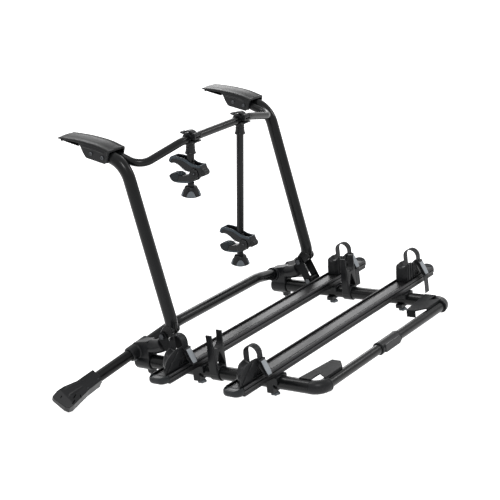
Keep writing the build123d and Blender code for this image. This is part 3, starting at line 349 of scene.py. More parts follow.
def drum(name, radii, place, material, sides=32):
    """A turned piece: radii pairs a height along the frame's Z with a radius."""
    return loft(name, [ring(sides, lambda _: r, z) for z, r in radii], place, material)


def prism(name, outline, low, high, place, material):
    """A flat outline on the frame's X and Y, carried from low to high along its Z."""
    return loft(name, [[(x, y, z) for x, y in outline] for z in (low, high)], place, material)


def mirrored(*half, middle=()):
    """Pairs, then the same pairs backwards with their first value's sign turned."""
    return [*half, *middle, *((-x, y) for x, y in reversed(half))]


def cut(piece, tool):
    """Takes a closed tool out of a piece, then removes the tool."""
    modify(piece, "BOOLEAN", operation="DIFFERENCE", solver="EXACT", object=tool)
    settle(piece)
    bpy.data.objects.remove(tool)
    return piece


def moulded(node, name, voxel_mm, rounds, *more, keep=0.3, material=nylon):
    """A CAD node's copy, fused with the solids that are added to it."""
    return fused([copy_of(node, name, material), *more], voxel_mm, rounds, keep)


def dress(slot, body, *pieces, node=""):
    """Gives pieces their body; slot is not used. The first stands for the CAD node, where one is named."""
    for piece in pieces:
        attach(piece, body)
    if node:
        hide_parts(node)


# Screw heads: button heads with a hexagon socket, one pattern set on every casting by a tree that puts a
# head on each point and turns it square to the surface.
HEAD_H = 3.2
CROWN_SHARE = 0.72
SOCKET_SHARES = (0.38, 0.46)
SOCKET_LIFT = 0.4


def pattern(name, **sizes):
    """An empty tree for the Geometry Nodes modifier, and its inputs: points, sizes and a material."""
    tree = bpy.data.node_groups.new(name, "GeometryNodeTree")
    tree.interface.new_socket("Geometry", in_out="INPUT", socket_type="NodeSocketGeometry")
    for label, value in sizes.items():
        socket = tree.interface.new_socket(label, in_out="INPUT", socket_type="NodeSocketFloat")
        socket.default_value = value
    tree.interface.new_socket("Material", in_out="INPUT", socket_type="NodeSocketMaterial")
    tree.interface.new_socket("Geometry", in_out="OUTPUT", socket_type="NodeSocketGeometry")
    return tree, add(tree, "NodeGroupInput").outputs


def turned_to(tree, label, **settings):
    """A rotation towards the direction that is stored on each point."""
    way = add(tree, "GeometryNodeInputNamedAttribute", {"Name": label}, data_type="FLOAT_VECTOR")
    return add(tree, "FunctionNodeAlignEulerToVector", {"Vector": way.outputs[0]}, **settings)


def close_pattern(tree, ins, shape, turn):
    """Sets a shape on every point, makes the copies real and gives them the material."""
    copies = add(tree, "GeometryNodeInstanceOnPoints", {
        "Points": ins["Geometry"], "Instance": shape.outputs[0], "Rotation": turn.outputs[0]})
    real = add(tree, "GeometryNodeRealizeInstances", {0: copies.outputs[0]})
    tinted = add(tree, "GeometryNodeSetMaterial", {0: real.outputs[0], "Material": ins["Material"]})
    add(tree, "NodeGroupOutput", {0: tinted.outputs[0]})


def grow(name, tree, spots, sizes, material):
    """Runs a tree on points in metres, each with its directions, and keeps a plain mesh; sizes in mm."""
    places, *ways = zip(*spots)
    mesh = bpy.data.meshes.new(name)
    mesh.from_pydata(list(places), [], [])
    for label, column in zip(("facing", "along"), ways):
        stored = mesh.attributes.new(label, "FLOAT_VECTOR", "POINT")
        for item, way in zip(stored.data, column):
            item.vector = way
    mesh.materials.append(material)
    piece = placed(name, mesh)
    modifier = modify(piece, "NODES", node_group=tree)
    values = {"Material": material, **{label: mm / 1000 for label, mm in sizes.items()}}
    for item in tree.interface.items_tree:
        if item.item_type == "SOCKET" and item.in_out == "INPUT" and item.name in values:
            modifier[item.identifier] = values[item.name]
    return settle(piece)


head_tree, ins = pattern("screw_heads", Radius=0.006, Height=0.003)
crown = add(head_tree, "GeometryNodeMeshCone", {
    "Vertices": 24, "Side Segments": 2, "Depth": ins["Height"], "Radius Bottom": ins["Radius"],
    "Radius Top": maths(head_tree, "MULTIPLY", ins["Radius"], CROWN_SHARE)})
low, high = (maths(head_tree, "MULTIPLY", ins["Radius"], share) for share in SOCKET_SHARES)
recess = add(head_tree, "GeometryNodeMeshCone", {
    "Vertices": 6, "Depth": ins["Height"], "Radius Bottom": low, "Radius Top": high})
lift = add(head_tree, "ShaderNodeCombineXYZ", {
    2: maths(head_tree, "MULTIPLY", ins["Height"], SOCKET_LIFT)})
raised = add(head_tree, "GeometryNodeTransform", {0: recess.outputs[0], "Translation": lift.outputs[0]})
socketed = add(head_tree, "GeometryNodeMeshBoolean", {0: crown.outputs[0], 1: raised.outputs[0]},
               operation="DIFFERENCE")
close_pattern(head_tree, ins, socketed, turned_to(head_tree, "facing", axis="Z"))


def screws(name, spots, body, radius, height=HEAD_H):
    """Screw heads at points in mm from the hub line, each with the way it faces."""
    points = [(hub(*at) + Vector(way).normalized() * (height / 2000), Vector(way).normalized())
              for at, way in spots]
    heads = grow(name, head_tree, points, {"Radius": radius, "Height": height}, black_zinc)
    dress("zinc_bolt", body, heads)


# Hub castings: each holds the side tube's end, a leg of the foot bar and the elbow that the arm folds on.
# They are moulded nylon over a steel insert. A button head screw pinches the leg in its socket.
HUB_VOXEL_MM = 1.5
LEG_WAY = (0.9575, 0.1910, -0.2159)
LEG_FROM = (23.2, 39.3)
LEG_SCREW_AT = 36.0
LEG_SCREW_R = 6.5
LEG_SCREW_WAY = Vector((0, -0.62, -0.55))
LEG_SCREW_OUT = 21.9


def leg_way(side):
    """The way a leg of the foot bar leaves its hub: outwards, ahead and down."""
    return Vector((side * LEG_WAY[0], *LEG_WAY[1:]))


for name, side in SIDES.items():
    casting = moulded(f"hub_{name}", f"hub_casting_{name}", HUB_VOXEL_MM, 6)
    dress("moulded_black", "base", casting, node=f"hub_{name}")
    out = leg_way(side)
    down = (LEG_SCREW_WAY - out * LEG_SCREW_WAY.dot(out)).normalized()
    leg = Vector((side * HALF_SPAN, *LEG_FROM)) + out * LEG_SCREW_AT
    screws(f"leg_screw_{name}", [(leg + down * LEG_SCREW_OUT, down)], "base", LEG_SCREW_R)

# Corner castings and the rear tube's sleeve: nylon elbows pushed into the side tubes, with a raised bead
# where the rear tube enters, and a sleeve with a rib at each end, whose flat panel is left bare.
REAR_Y = -616.6
REAR_BORE_R = 15.1
SEAM_X = 327.0
BEAD_W = 6.0
BEAD_RS = (19.2, 21.0)
TUBE_IN = 20.0
TUBE_OUT = 60.0
CASTING_VOXEL_MM = 1.3
RIB_X = 51.0
RIB_EDGE = mirrored((-1.5, 18.0), (-1.0, 19.9))
for name, side in SIDES.items():
    seam = crosswise(hub(side * SEAM_X, REAR_Y, 0))
    bead = drum("bead", mirrored((-BEAD_W / 2, BEAD_RS[0]), (-BEAD_W / 3, BEAD_RS[1])),
                seam @ Matrix.Translation((0, 0, side * BEAD_W / 2)), nylon)
    bore = drum("bore", [(-side * TUBE_IN, REAR_BORE_R), (side * TUBE_OUT, REAR_BORE_R)],
                seam @ Matrix.Rotation(pi, 4, "Y"), nylon)
    corner = moulded(f"corner_{name}", f"corner_casting_{name}", CASTING_VOXEL_MM, 3, bead)
    dress("moulded_black", "base", cut(corner, bore), node=f"corner_{name}")

ribs = [drum("rib", RIB_EDGE, crosswise(hub(x, REAR_Y, 0)), nylon) for x in (-RIB_X, RIB_X)]
bore = drum("bore", [(-70, REAR_BORE_R), (70, REAR_BORE_R)], crosswise(hub(0, REAR_Y, 0)), nylon)
sleeve = cut(moulded("rear_sleeve", "rear_tube_sleeve", 1.0, 3, *ribs), bore)
dress("moulded_black", "base", sleeve, node="rear_sleeve")

# Storage forks: a clip round each side tube with two springy prongs, which taper a little, splay again at
# their tips and lean apart, to hold the folded arm between them. One moulding in black nylon.
FORK_Y = -266.0
PRONG_FROM_Z = 40.0
PRONG_TOP_Z = 121.0
PRONG_TAPER = 0.42
SPLAY_FROM = 0.8
PRONG_LEAN_M = 0.0022
forks = moulded("storage_forks", "arm_forks", CASTING_VOXEL_MM, 4)
for vertex in forks.data.vertices:
    rise = ((vertex.co.z * 1000 - HUB_Z) - PRONG_FROM_Z) / (PRONG_TOP_Z - PRONG_FROM_Z)
    if rise > 0:
        middle = (HUB_Y + FORK_Y) / 1000
        width = 1 - PRONG_TAPER * rise ** 1.5 + max(0.0, rise - SPLAY_FROM)
        vertex.co.y = middle + (vertex.co.y - middle) * width
        way = 1 if vertex.co.x > 0 else -1
        outward = 1 if abs(vertex.co.x) * 1000 > HALF_SPAN else -1
        vertex.co.x += way * outward * PRONG_LEAN_M * rise ** 3
dress("moulded_black", "base", forks, node="storage_forks")

# Feet: hollow nylon shoes on the foot bar's legs, round at the sleeve and broad at the toe, with two soft
# ridges that fan out, drain slots, two screws, and a ribbed rubber sole.
FOOT_STARTS = {"left": 326.0, "right": 248.0}
FOOT_BEND = (212.7, -6.4, 72.8)
FOOT_ROLL = radians(50.9)
FOOT_L = 152.0
FOOT_LOW = -FOOT_L * 0.14 - 5.0
RIDGE_R = 4.2
RIDGES = (((26, -5, 17.5), (62, -11, 18.5), (104, -22, 16), (136, -25, 9)),
          ((44, 3, 18.0), (76, 4, 18.2), (108, 2, 16.5), (138, 0, 9)))
SLOTS = ((104, 14, 15, 3.2, 24), (118, 26, 15, 3.2, 20), (90, 24, 9, 3.0, 70), (134, -10, 8, 3.0, 25))
LIP = ((0, 20.0), (1.5, 21.0), (6, 21.0), (9, 20.0))
LEG_BORE = ((-4, 17.25), (115.5, 17.25))
FOOT_SCREWS = ((12, 14, 17.6), (56, 19, 17.6))
SOLE_RIBS = 7
ALONG_X = Matrix(((0, 0, 1), (1, 0, 0), (0, 1, 0))).to_4x4()
sole_rubber = finish("black_sole_rubber", "#121213", "#1c1c1d", 0.78, 0.9, 0.5)


def smooth_run(points, steps):
    """Points on a smooth curve through the given ones."""
    points = [Vector(p) for p in points]
    run = []
    for k in range(len(points) - 1):
        p0, p1, p2, p3 = (points[max(0, min(len(points) - 1, k + d))] for d in (-1, 0, 1, 2))
        for step in range(steps):
            t = step / steps
            run.append(0.5 * (2 * p1 + (p2 - p0) * t + (2 * p0 - 5 * p1 + 4 * p2 - p3) * t ** 2
                              + (3 * p1 - p0 - 3 * p2 + p3) * t ** 3))
    return run + [points[-1]]


def heading(run, k):
    """The way a run of points goes at one of them."""
    return (run[min(k + 1, len(run) - 1)] - run[max(k - 1, 0)]).normalized()


def tube_run(name, points, radius, place, material, ends=0.5, sides=12):
    """A round bar through points in mm, thinned towards both ends."""
    run = smooth_run(points, 6)
    rings = []
    for k, at in enumerate(run):
        along = heading(run, k)
        side = (side - along * side.dot(along)).normalized() if k else along.orthogonal().normalized()
        r = radius * (ends + (1 - ends) * sin(pi * k / (len(run) - 1)) ** 0.5)
        circle = ring(sides, lambda _: 1, 0)
        rings.append([at + (side * x + along.cross(side) * y) * r for x, y, _ in circle])
    return loft(name, rings, place, material)


bar_tree, ins = pattern("cross_bars", Length=0.02, Width=0.002, Height=0.002)
block = add(bar_tree, "GeometryNodeMeshCube", {
    "Size": add(bar_tree, "ShaderNodeCombineXYZ",
                {0: ins["Width"], 1: ins["Length"], 2: ins["Height"]}).outputs[0]})
lean = turned_to(bar_tree, "along", axis="Y", pivot_axis="Z")
bar_tree.links.new(turned_to(bar_tree, "facing", axis="Z").outputs[0], lean.inputs["Rotation"])
close_pattern(bar_tree, ins, block, lean)


def cross_bars(name, spots, length, width, height, material, edge_mm=0.4):
    """A row of bars: each spot is a place in metres, the way its top faces and the way it runs."""
    bars = grow(name, bar_tree, spots, {"Length": length, "Width": width, "Height": height}, material)
    return rounded(bars, edge_mm, steps=1)


for name, side in SIDES.items():
    out = leg_way(side)
    up = (Vector((0, 0, 1)) - out * out.z).normalized()
    ahead = (Vector((0, 1, 0)) - out * out.y - up * up.y).normalized()
    wide = up * -cos(FOOT_ROLL) - ahead * sin(FOOT_ROLL)
    cover = up * sin(FOOT_ROLL) - ahead * cos(FOOT_ROLL)
    at = Vector((side * FOOT_BEND[0], *FOOT_BEND[1:])) + out * FOOT_STARTS[name]
    shoe_frame = upright(hub(*at), Matrix((out, wide, cover)).transposed().to_4x4())
    bar_frame = shoe_frame @ ALONG_X
    turn = shoe_frame.to_3x3().normalized()

    ridges = [tube_run("ridge", points, RIDGE_R, shoe_frame, nylon) for points in RIDGES]
    shoe = moulded(f"foot_{name}", f"foot_shoe_{name}", CASTING_VOXEL_MM, 5, *ridges,
                   drum("lip", LIP, bar_frame, nylon), keep=0.35)
    for along, across, length, width, angle in SLOTS:
        slot_frame = shoe_frame @ Matrix.Translation((along, across, 16)) \
            @ Matrix.Rotation(radians(angle), 4, "Z")
        outline = [(x * length / 2, y * width / 2) for x, y in SQUARE]
        cut(shoe, prism("slot", outline, -5, 12, slot_frame, nylon))
    cut(shoe, drum("bore", LEG_BORE, bar_frame, nylon))
    dress("moulded_black", f"foot_{name}", shoe, node=f"foot_{name}")

    spots = [(shoe_frame @ Vector(at), turn @ Vector((0, 0.35, 1))) for at in FOOT_SCREWS]
    heads = grow(f"foot_screws_{name}", head_tree, spots, {"Radius": 5.2, "Height": 3.2}, black_zinc)
    dress("zinc_bolt", f"foot_{name}", heads)

    pad = rounded(copy_of(f"foot_pad_{name}", f"foot_sole_{name}", sole_rubber), 0.8)
    spots = [(shoe_frame @ Vector((FOOT_L * (0.28 + 0.47 * k / (SOLE_RIBS - 1)), 0, FOOT_LOW)),
              turn @ Vector((0, 0, -1)), turn @ Vector((0, 1, 0))) for k in range(SOLE_RIBS)]
    ribs = cross_bars(f"foot_sole_ribs_{name}", spots, 34, 4.0, 2.4, sole_rubber)
    dress("pad_rubber", f"foot_{name}", pad, ribs, node=f"foot_pad_{name}")

# Wheel trays: extruded aluminium channels, black anodised, so the drawing lines and the lips catch the
# light. A deep groove runs under each lip, inside and out, and a shallow one beside it.
TRAY_YS = {1: -189.0, 2: -449.0}
TRAY_ENDS = {"left": -524.0, "right": 540.0}
TRAY_LOW = 21.6
TRAY_OUTSIDE = mirrored(
    (-15, 0), (-31, 0), (-32, 1), (-32, 6.4), (-30.8, 7), (-30.8, 8.6), (-32, 9.2), (-32, 15.4),
    (-28.6, 16.2), (-28.6, 18.2), (-32, 19), (-32, 21), (-31.2, 23), (-29.6, 24.8), (-27, 25.5),
    (-25.6, 25.2), (-25, 24.2), (-24.6, 16.4), (-22.2, 16.4), (-21.4, 20.2), (-16.8, 20.6), (-16.2, 19.4),
    (-15.2, 19.4), (-14.6, 20.8), (-5, 21.2))
TRAY_INSIDE = mirrored((15, 2.2), (28.4, 2.2), (28.4, 14.8))
DRAWN_MM = 1.4


def drawn_metal(name, dark, light, rough):
    """Anodised extrusion: fine lines from the die along X, brushed gloss across them."""
    material = bpy.data.materials.new(name)
    tree = blank(material)
    coords = add(tree, "ShaderNodeTexCoord").outputs["Object"]
    stretch = add(tree, "ShaderNodeMapping", {"Vector": coords, "Scale": (0.012, 1.0, 1.0)})
    lines = add(tree, "ShaderNodeTexNoise",
                {"Vector": stretch.outputs[0], "Scale": 1000 / DRAWN_MM, "Detail": 3.0}).outputs[0]
    bump = add(tree, "ShaderNodeBump", {"Height": lines, "Strength": 0.1, "Distance": 0.0002})
    surface(tree, lines, dark, light, rough, 0.03, Metallic=1.0, Normal=bump.outputs[0])
    return material


anodised = drawn_metal("black_anodised_aluminium", "#353536", "#3f3f40", 0.42)
for number, tray_y in TRAY_YS.items():
    rings = [[(x, tray_y + y, TRAY_LOW + z) for y, z in TRAY_OUTSIDE + TRAY_INSIDE]
             for x in TRAY_ENDS.values()]
    tray = settle(loft(f"wheel_tray_{number}", rings, hub_frame, anodised), crisp=24)
    dress("anodised_tray", f"tray_{number}", tray, node=f"tray_{number}")

# Tray caps: nylon plugs shaped like a boat's bow, which close each end of a tray behind a small step. The
# tray's trough runs on into them and fades out. The left tips drop a little, the right ones turn up.
CAP_TIPS = {"left": 554.0, "right": 563.0}
CAP_STEPS = 12
CAP_HALF = 31.6
CAP_H = 25.3
CAP_RISES = {"left": 14.5, "right": 23.0}
CAP_TURN_UP = {"left": -6.0, "right": 4.0}
CAP_SIDE = ((-0.55, 0.0), (-0.82, 0.08), (-0.97, 0.28), (-1.0, 0.52), (-0.97, 0.80), (-0.88, 0.97),
            (-0.81, 1.0))
CAP_TROUGH_X = -0.77
cap_nylon = finish("cap_nylon_grey_black", "#242628", "#323537", 0.32, SPARK_MM, 0.3)
for number, tray_y in TRAY_YS.items():
    caps = []
    for name, side in SIDES.items():
        start = abs(TRAY_ENDS[name])
        rings = []
        for step in range(-2, CAP_STEPS + 1):
            share = max(0.0, step / CAP_STEPS)
            x = side * (start + 0.6 * min(step, 0) + (CAP_TIPS[name] - start) * sin(share * pi / 2))
            half = CAP_HALF * (0.2 + 0.8 * cos(share * pi / 2) ** 0.8) - (0.5 if step == -2 else 0)
            dip = 0.8 + 0.18 * min(1.0, max(0.0, (share - 0.4) / 0.2))
            low = TRAY_LOW + 0.4 + CAP_RISES[name] * share ** 2.4
            top = TRAY_LOW + CAP_H + CAP_TURN_UP[name] * share ** 3
            rings.append([(x, tray_y + half * a, low + (top - low) * b)
                          for a, b in mirrored(*CAP_SIDE, (CAP_TROUGH_X, dip))])
        caps.append(loft("cap", rings, hub_frame, cap_nylon))
    cap = rounded(joined(caps, f"tray_end_caps_{number}"), 0.9)
    dress("moulded_black", f"tray_{number}", cap, node=f"tray_caps_{number}")

# Tray brackets and their knobs: nylon saddles that slide on the side tubes, pinched from below by a knob
# with five lobes in grey nylon.
KNOB_BACK = 12.0
KNOB_R = 12.4
KNOB_LOBE = 1.5
KNOB_RINGS = ((-40.0, 0.80), (-39.0, 0.93), (-36.8, 1.0), (-33.5, 0.96), (-31.0, 0.78))
KNOB_NECK = (6.6, -29.8)
SHANK = ((-31.0, 6.4), (-28.2, 6.4), (-27.4, 4.0), (-21, 4.0))
knob_nylon = finish("grey_knob_nylon", "#6d7378", "#7f858a", 0.42, SPARK_MM, 0.3)
for number, tray_y in TRAY_YS.items():
    saddle = moulded(f"tray_brackets_{number}", f"tray_saddles_{number}", CASTING_VOXEL_MM, 3)
    dress("moulded_black", f"tray_{number}", saddle, node=f"tray_brackets_{number}")
    for name, side in SIDES.items():
        knob = f"{number}_{name}"
        place = upright(hub(side * HALF_SPAN, tray_y - KNOB_BACK, 0))
        rings = [ring(60, lambda a: (KNOB_R + KNOB_LOBE * cos(5 * a)) * share, z)
                 for z, share in KNOB_RINGS]
        rings.append(ring(60, lambda _: KNOB_NECK[0], KNOB_NECK[1]))
        grip = settle(loft(f"tray_grip_{knob}", rings, place, knob_nylon), crisp=50)
        shank = settle(drum(f"tray_grip_shank_{knob}", SHANK, place, knob_nylon))
        dress("grey_knob", f"tray_knob_{knob}", grip, shank, node=f"tray_knob_{knob}")

# Wheel cradles: nylon blocks that slide in the trays, scooped out between their two sides. The left ones
# are a curved prow with one ridge, the right ones a tall block with a notched top and three ribs. A
# louvred window lightens the rear side.
STRAP_XS = {"left": -428.0, "right": 464.0}
CRADLES = [(f"{number}_{name}", name, strap_x, tray_y)
           for number, tray_y in TRAY_YS.items() for name, strap_x in STRAP_XS.items()]
CRADLE_HALF = 22.0
CRADLE_LOW = 42.8
CRADLE_H = 61.2
NOSE_L = 100.0
SIDE_POINTS = 22
FRONT_SHARES = {"left": 0.55, "right": 0.75}
REAR_LINES = {
    "left": ((-0.98, 0.0), (-1.0, 0.10), (-1.0, 0.36), (-0.88, 0.68), (-0.64, 0.90), (-0.36, 1.0),
             (-0.10, 0.97), (0.15, 0.40), (0.22, 0.0)),
    "right": ((-0.74, 0.0), (-0.73, 0.3), (-0.68, 0.8), (-0.64, 1.0), (-0.46, 1.0), (-0.40, 0.92),
              (-0.24, 0.92), (-0.18, 1.0), (-0.06, 0.97), (0.15, 0.35), (0.20, 0.0)),
}
FRONT_LINES = {
    "left": ((-1.0, 0.0), (-1.0, 0.34), (-0.75, 0.74), (-0.30, 0.84), (0.25, 0.36), (0.36, 0.0)),
    "right": ((-0.97, 0.0), (-0.95, 0.40), (-0.88, 0.86), (-0.50, 0.92), (-0.15, 0.86), (0.25, 0.30),
              (0.36, 0.0)),
}
SCOOP = mirrored((-1.0, 0.0), (-0.93, 0.0), (-0.78, -1.5), (-0.55, -6.0), (-0.28, -10.5),
                 middle=[(0.0, -12.0)])
WINDOW = ((-0.40, 0.16), (-0.13, 0.62), (0.04, 0.14))
LOUVRES = 4
CRADLE_RIDGES = {
    "left": (((-0.90, 0.14), (-0.34, 0.86)),),
    "right": (((-0.67, 0.10), (-0.60, 0.92)), ((-0.52, 0.10), (-0.47, 0.92)),
              ((-0.37, 0.10), (-0.34, 0.88))),
}


def resample(line, count=0, every=0.0):
    """Evenly spaced points along an open line, as many as are asked for or as their spacing gives."""
    points = [Vector(p) for p in line]
    lengths = [(b - a).length for a, b in zip(points, points[1:])]
    count = count or int(sum(lengths) / every)
    out = []
    for k in range(count):
        left = sum(lengths) * k / (count - 1)
        index = 0
        while index < len(lengths) - 1 and left > lengths[index]:
            left -= lengths[index]
            index += 1
        out.append(points[index].lerp(points[index + 1], min(1.0, left / lengths[index])))
    return out


def cradle_size(pairs, length=NOSE_L):
    """Pairs of shares of a cradle's length and height, in mm."""
    return [Vector((a * length, b * CRADLE_H)) for a, b in pairs]


def on_side(frame_mm, low, high, share, out):
    """A bar's spot on a cradle's side: on the line from low to high, with its top facing away."""
    along = (high - low).normalized()
    at = frame_mm @ Vector((*low.lerp(high, share), out))
    return at, Vector((0, -1, 0)), Vector((along.x, 0, along.y))


for which, name, strap_x, tray_y in CRADLES:
    rear = resample(cradle_size(REAR_LINES[name]), SIDE_POINTS)
    front = resample(cradle_size(FRONT_LINES[name], FRONT_SHARES[name] * NOSE_L), SIDE_POINTS)
    columns = []
    for share, scoop in SCOOP:
        column = []
        for k, (r, f) in enumerate(zip(rear, front)):
            ahead, up = (a * (1 - share) / 2 + b * (1 + share) / 2 for a, b in zip(r, f))
            dip = 0 if k in (0, SIDE_POINTS - 1) else scoop
            column.append((strap_x + ahead - scoop * 0.15, tray_y + share * CRADLE_HALF,
                           CRADLE_LOW + max(0.0, up + dip)))
        columns.append(column)
    cradle = rounded(loft(f"wheel_cradle_{which}", columns, hub_frame, nylon), 1.0)
    cradle = fused([cradle], 1.2, 3, keep=0.4)
    side_frame = local(hub(strap_x, tray_y - CRADLE_HALF, CRADLE_LOW), (1, 0, 0), (0, 0, 1))
    window = cradle_size(WINDOW)
    cut(cradle, prism("window", window, -6, 6, side_frame, nylon))
    dress("moulded_black", f"cradle_{which}", cradle, node=f"cradle_{which}")

    spots = [on_side(side_frame, window[0].lerp(window[2], (k + 1) / (LOUVRES + 1)), window[1], 0.42, -2.4)
             for k in range(LOUVRES)]
    louvres = cross_bars(f"cradle_louvres_{which}", spots, 26, 1.8, 4.4, nylon)
    spots = [on_side(side_frame, *cradle_size(ridge), 0.5, 0.4) for ridge in CRADLE_RIDGES[name]]
    low, high = cradle_size(CRADLE_RIDGES[name][0])
    ridges = cross_bars(f"cradle_ridges_{which}", spots, (high - low).length, 5.0, 5.0, nylon, edge_mm=1.6)
    dress("moulded_black", f"cradle_{which}", louvres, ridges)

# Wheel straps: flexible polyurethane bands with a row of ratchet teeth, looped over the wheel's rim from
# the cradle's front side to the buckle on its rear side. On the right cradles the loose tail hangs down.
STRAP_W = 24.0
STRAP_T = 2.4
STRAP_TOP = 132.0
STRAP_LOW = 62.0
BUCKLE_TOP_Z = 90.0
BUCKLE_L = 50.0
BUCKLE_TILT = radians(26.0)
LOOP_STEPS = 28
TOOTH_MM = 4.4
TEETH_FROM_Z = 86.8
EAR_R = 3.5
EAR_T = 2.0
EAR_REACH = 4.7
STRAP_FACE = mirrored((-12, -0.7), (-11.4, -1.2), (-9.6, -1.2), (-9.2, -0.8))
STRAP_EDGE = STRAP_FACE + [(-x, -y) for x, y in STRAP_FACE]
polyurethane = finish("moulded_polyurethane_strap", "#1f2022", "#2e2f31", 0.44, 1.0, 0.3, patch_mm=20.0)
strap_y = CRADLE_HALF + STRAP_T / 2
loop_z = STRAP_TOP - strap_y
pin_off = (3.0 + STRAP_T / 2 + 0.3) / cos(BUCKLE_TILT)


def under_buckle(reach):
    """A point of the strap as it slants down under its buckle, from the tray's middle line, in mm."""
    return -strap_y - sin(BUCKLE_TILT) * reach, BUCKLE_TOP_Z - cos(BUCKLE_TILT) * reach


def pin_at(strap_x, tray_y):
    """The middle of a buckle's pin, in metres."""
    return hub(strap_x, tray_y - strap_y - cos(BUCKLE_TILT) * pin_off,
               BUCKLE_TOP_Z + sin(BUCKLE_TILT) * pin_off)


def half_round(radius, steps):
    """The half of a circle on the side of negative X, from its top."""
    turns = [pi / 2 + pi * k / steps for k in range(steps + 1)]
    return [(radius * cos(a), radius * sin(a)) for a in turns]


for which, name, strap_x, tray_y in CRADLES:
    line = [(strap_y, STRAP_LOW + 6 * k) for k in range(int((loop_z - STRAP_LOW) // 6) + 1)]
    line += [(strap_y * cos(pi * k / LOOP_STEPS), loop_z + strap_y * sin(pi * k / LOOP_STEPS))
             for k in range(LOOP_STEPS + 1)]
    line += [(-strap_y, loop_z - 4 * k) for k in range(1, 4)]
    line += [(-strap_y - 0.4, BUCKLE_TOP_Z + 2)]
    line += [under_buckle(reach) for reach in range(4, int(BUCKLE_L) - 1, 5)]
    if name == "right":
        y, z = under_buckle(BUCKLE_L)
        line += [(y - 0.2, z - 1)] + [(y - 0.4 - 1.2 * sin(k / 4), z - 8 * k) for k in range(1, 8)]
    run = [Vector(p) for p in line]
    rings = []
    for k, at in enumerate(run):
        out = Vector((1, 0, 0)).cross(Vector((0, *heading(run, k))))
        rings.append([(strap_x + a, tray_y + at.x + out.y * b, at.y + out.z * b) for a, b in STRAP_EDGE])
    band = settle(loft(f"wheel_strap_{which}", rings, hub_frame, polyurethane), crisp=32)
    spots = []
    walk = resample(run, every=TOOTH_MM)
    for k, at in enumerate(walk[3:-2], 3):
        out = Vector((0, *heading(walk, k))).cross(Vector((1, 0, 0)))
        if at.y > TEETH_FROM_Z:
            spots.append((hub(strap_x, tray_y + at.x, at.y) + out * 0.0010, out, Vector((1, 0, 0))))
    teeth = cross_bars(f"strap_teeth_{which}", spots, 15, 1.7, 0.9, polyurethane, edge_mm=0.25)
    outline = half_round(EAR_R, 12) + [(EAR_REACH, -EAR_R), (EAR_REACH, EAR_R)]
    pin_frame = crosswise(pin_at(strap_x, tray_y))
    ears = [prism("ear", outline, 0, EAR_T, pin_frame @ Matrix.Translation((0, 0, inner)), polyurethane)
            for inner in (STRAP_W / 2, -STRAP_W / 2 - EAR_T)]
    ear = rounded(joined(ears, f"strap_ears_{which}"), 0.5)
    dress("strap_rubber", f"cradle_{which}", band, teeth, ear, node=f"strap_{which}")

# Strap buckles: a black moulded lever on a steel pin, faced with a silver grey pad that a thumb lifts. The
# lever's round end turns in the strap's ears, and the pad swells in the middle.
LEVER_BACK = ((8, -0.2), (20, 0.2), (36, 0.2), (46, -0.1), (50.5, 1.4))
LEVER_FACE = ((50.5, 3.6), (44, 4.4), (24, 4.6), (8, 4.2), (3, 3.4))
LEVER_HALF = 11.6
PIN = ((-14, 1.45), (14, 1.45))
PAD_STEPS = 12
PAD_L = 43
PAD_HALF = 10.2
PAD_LOW = 3.2
silver_acetal = finish("silver_grey_acetal", "#a2a8ad", "#b7bcc1", 0.36, 1.2, 0.2, patch_mm=18.0)
for which, _, strap_x, tray_y in CRADLES:
    pin = pin_at(strap_x, tray_y)
    lever_frame = local(pin, (0, -sin(BUCKLE_TILT), -cos(BUCKLE_TILT)),
                        (0, -cos(BUCKLE_TILT), sin(BUCKLE_TILT)))
    lever = prism(f"buckle_lever_{which}", [*half_round(3, 14), *LEVER_BACK, *LEVER_FACE],
                  -LEVER_HALF, LEVER_HALF, lever_frame, nylon)
    rod = settle(drum(f"buckle_pin_{which}", PIN, crosswise(pin), black_zinc, sides=16))
    rings = []
    for k in range(PAD_STEPS + 1):
        swell = sin(pi * k / PAD_STEPS)
        half = PAD_HALF * (0.86 + 0.14 * swell)
        top = 4.6 + 1.1 * max(0.0, swell) ** 0.5
        rings.append([(3 + PAD_L * k / PAD_STEPS, y, z) for z, y in mirrored(
            (-half, PAD_LOW), (-half, top - 0.8), (-half + 1.2, top), middle=[(0, top + 0.2)])])
    pad = rounded(loft(f"buckle_pad_{which}", rings, lever_frame, silver_acetal), 0.6)
    dress("moulded_black", f"buckle_{which}", rounded(lever, 0.7))
    dress("zinc_bolt", f"buckle_{which}", rod)
    dress("silver_grey", f"buckle_{which}", pad, node=f"buckle_{which}")

# Trunk hooks: pressed steel blades under a moulded cover. A broad skin with rolled edges runs out over the
# trunk's edge, two side plates hold the arm between them, and a rubber pad and lip grip the lid.
HOUSING_IN = 313.5
HOUSING_OUT = 384.0
HOUSING_AT = (16.0, 608.5)
HOUSING_L = 189.0
PLATE_T = 3.6
RAIL_R = 2.0
TOP_LINE = ((-0.012, 0.206), (0.238, 0.294), (0.561, 0.357), (0.847, 0.389), (1.0, 0.399))
PLATE_LINE = ((0.063, 0.029), (0.008, 0.19), (0.238, 0.276), (0.562, 0.338), (0.60, 0.30), (0.566, 0.278),
              (0.535, 0.19), (0.487, 0.100), (0.46, 0.082), (0.111, 0.0))
RAIL_LINE = ((0.10, 0.175), (0.30, 0.232), (0.50, 0.268))
SKIN_SHAPE = mirrored((-35.2, -6.5), (-36.2, -5.0), (-36.0, -1.6), (-34.6, 0.1), (-31, 0.9), (-28.5, 0.2),
                      (-16, 1.5), middle=[(0, 2.0)]) \
    + mirrored((33.4, -5.6), (32.4, -3.4), (16, -2.2), middle=[(0, -1.8)])
SKIN_SUNK = 1.4
COLLAR_STEPS = ((0.0, 4.0), (3.2, 3.0), (3.2, -2.0), (0.0, -3.0))
COLLAR_HALF = 35.2
COLLAR_IN = 31.4
PAD_LINE = ((0.602, 0.270), (0.950, 0.355))
PAD_SHARES = (0.05, 0.94)
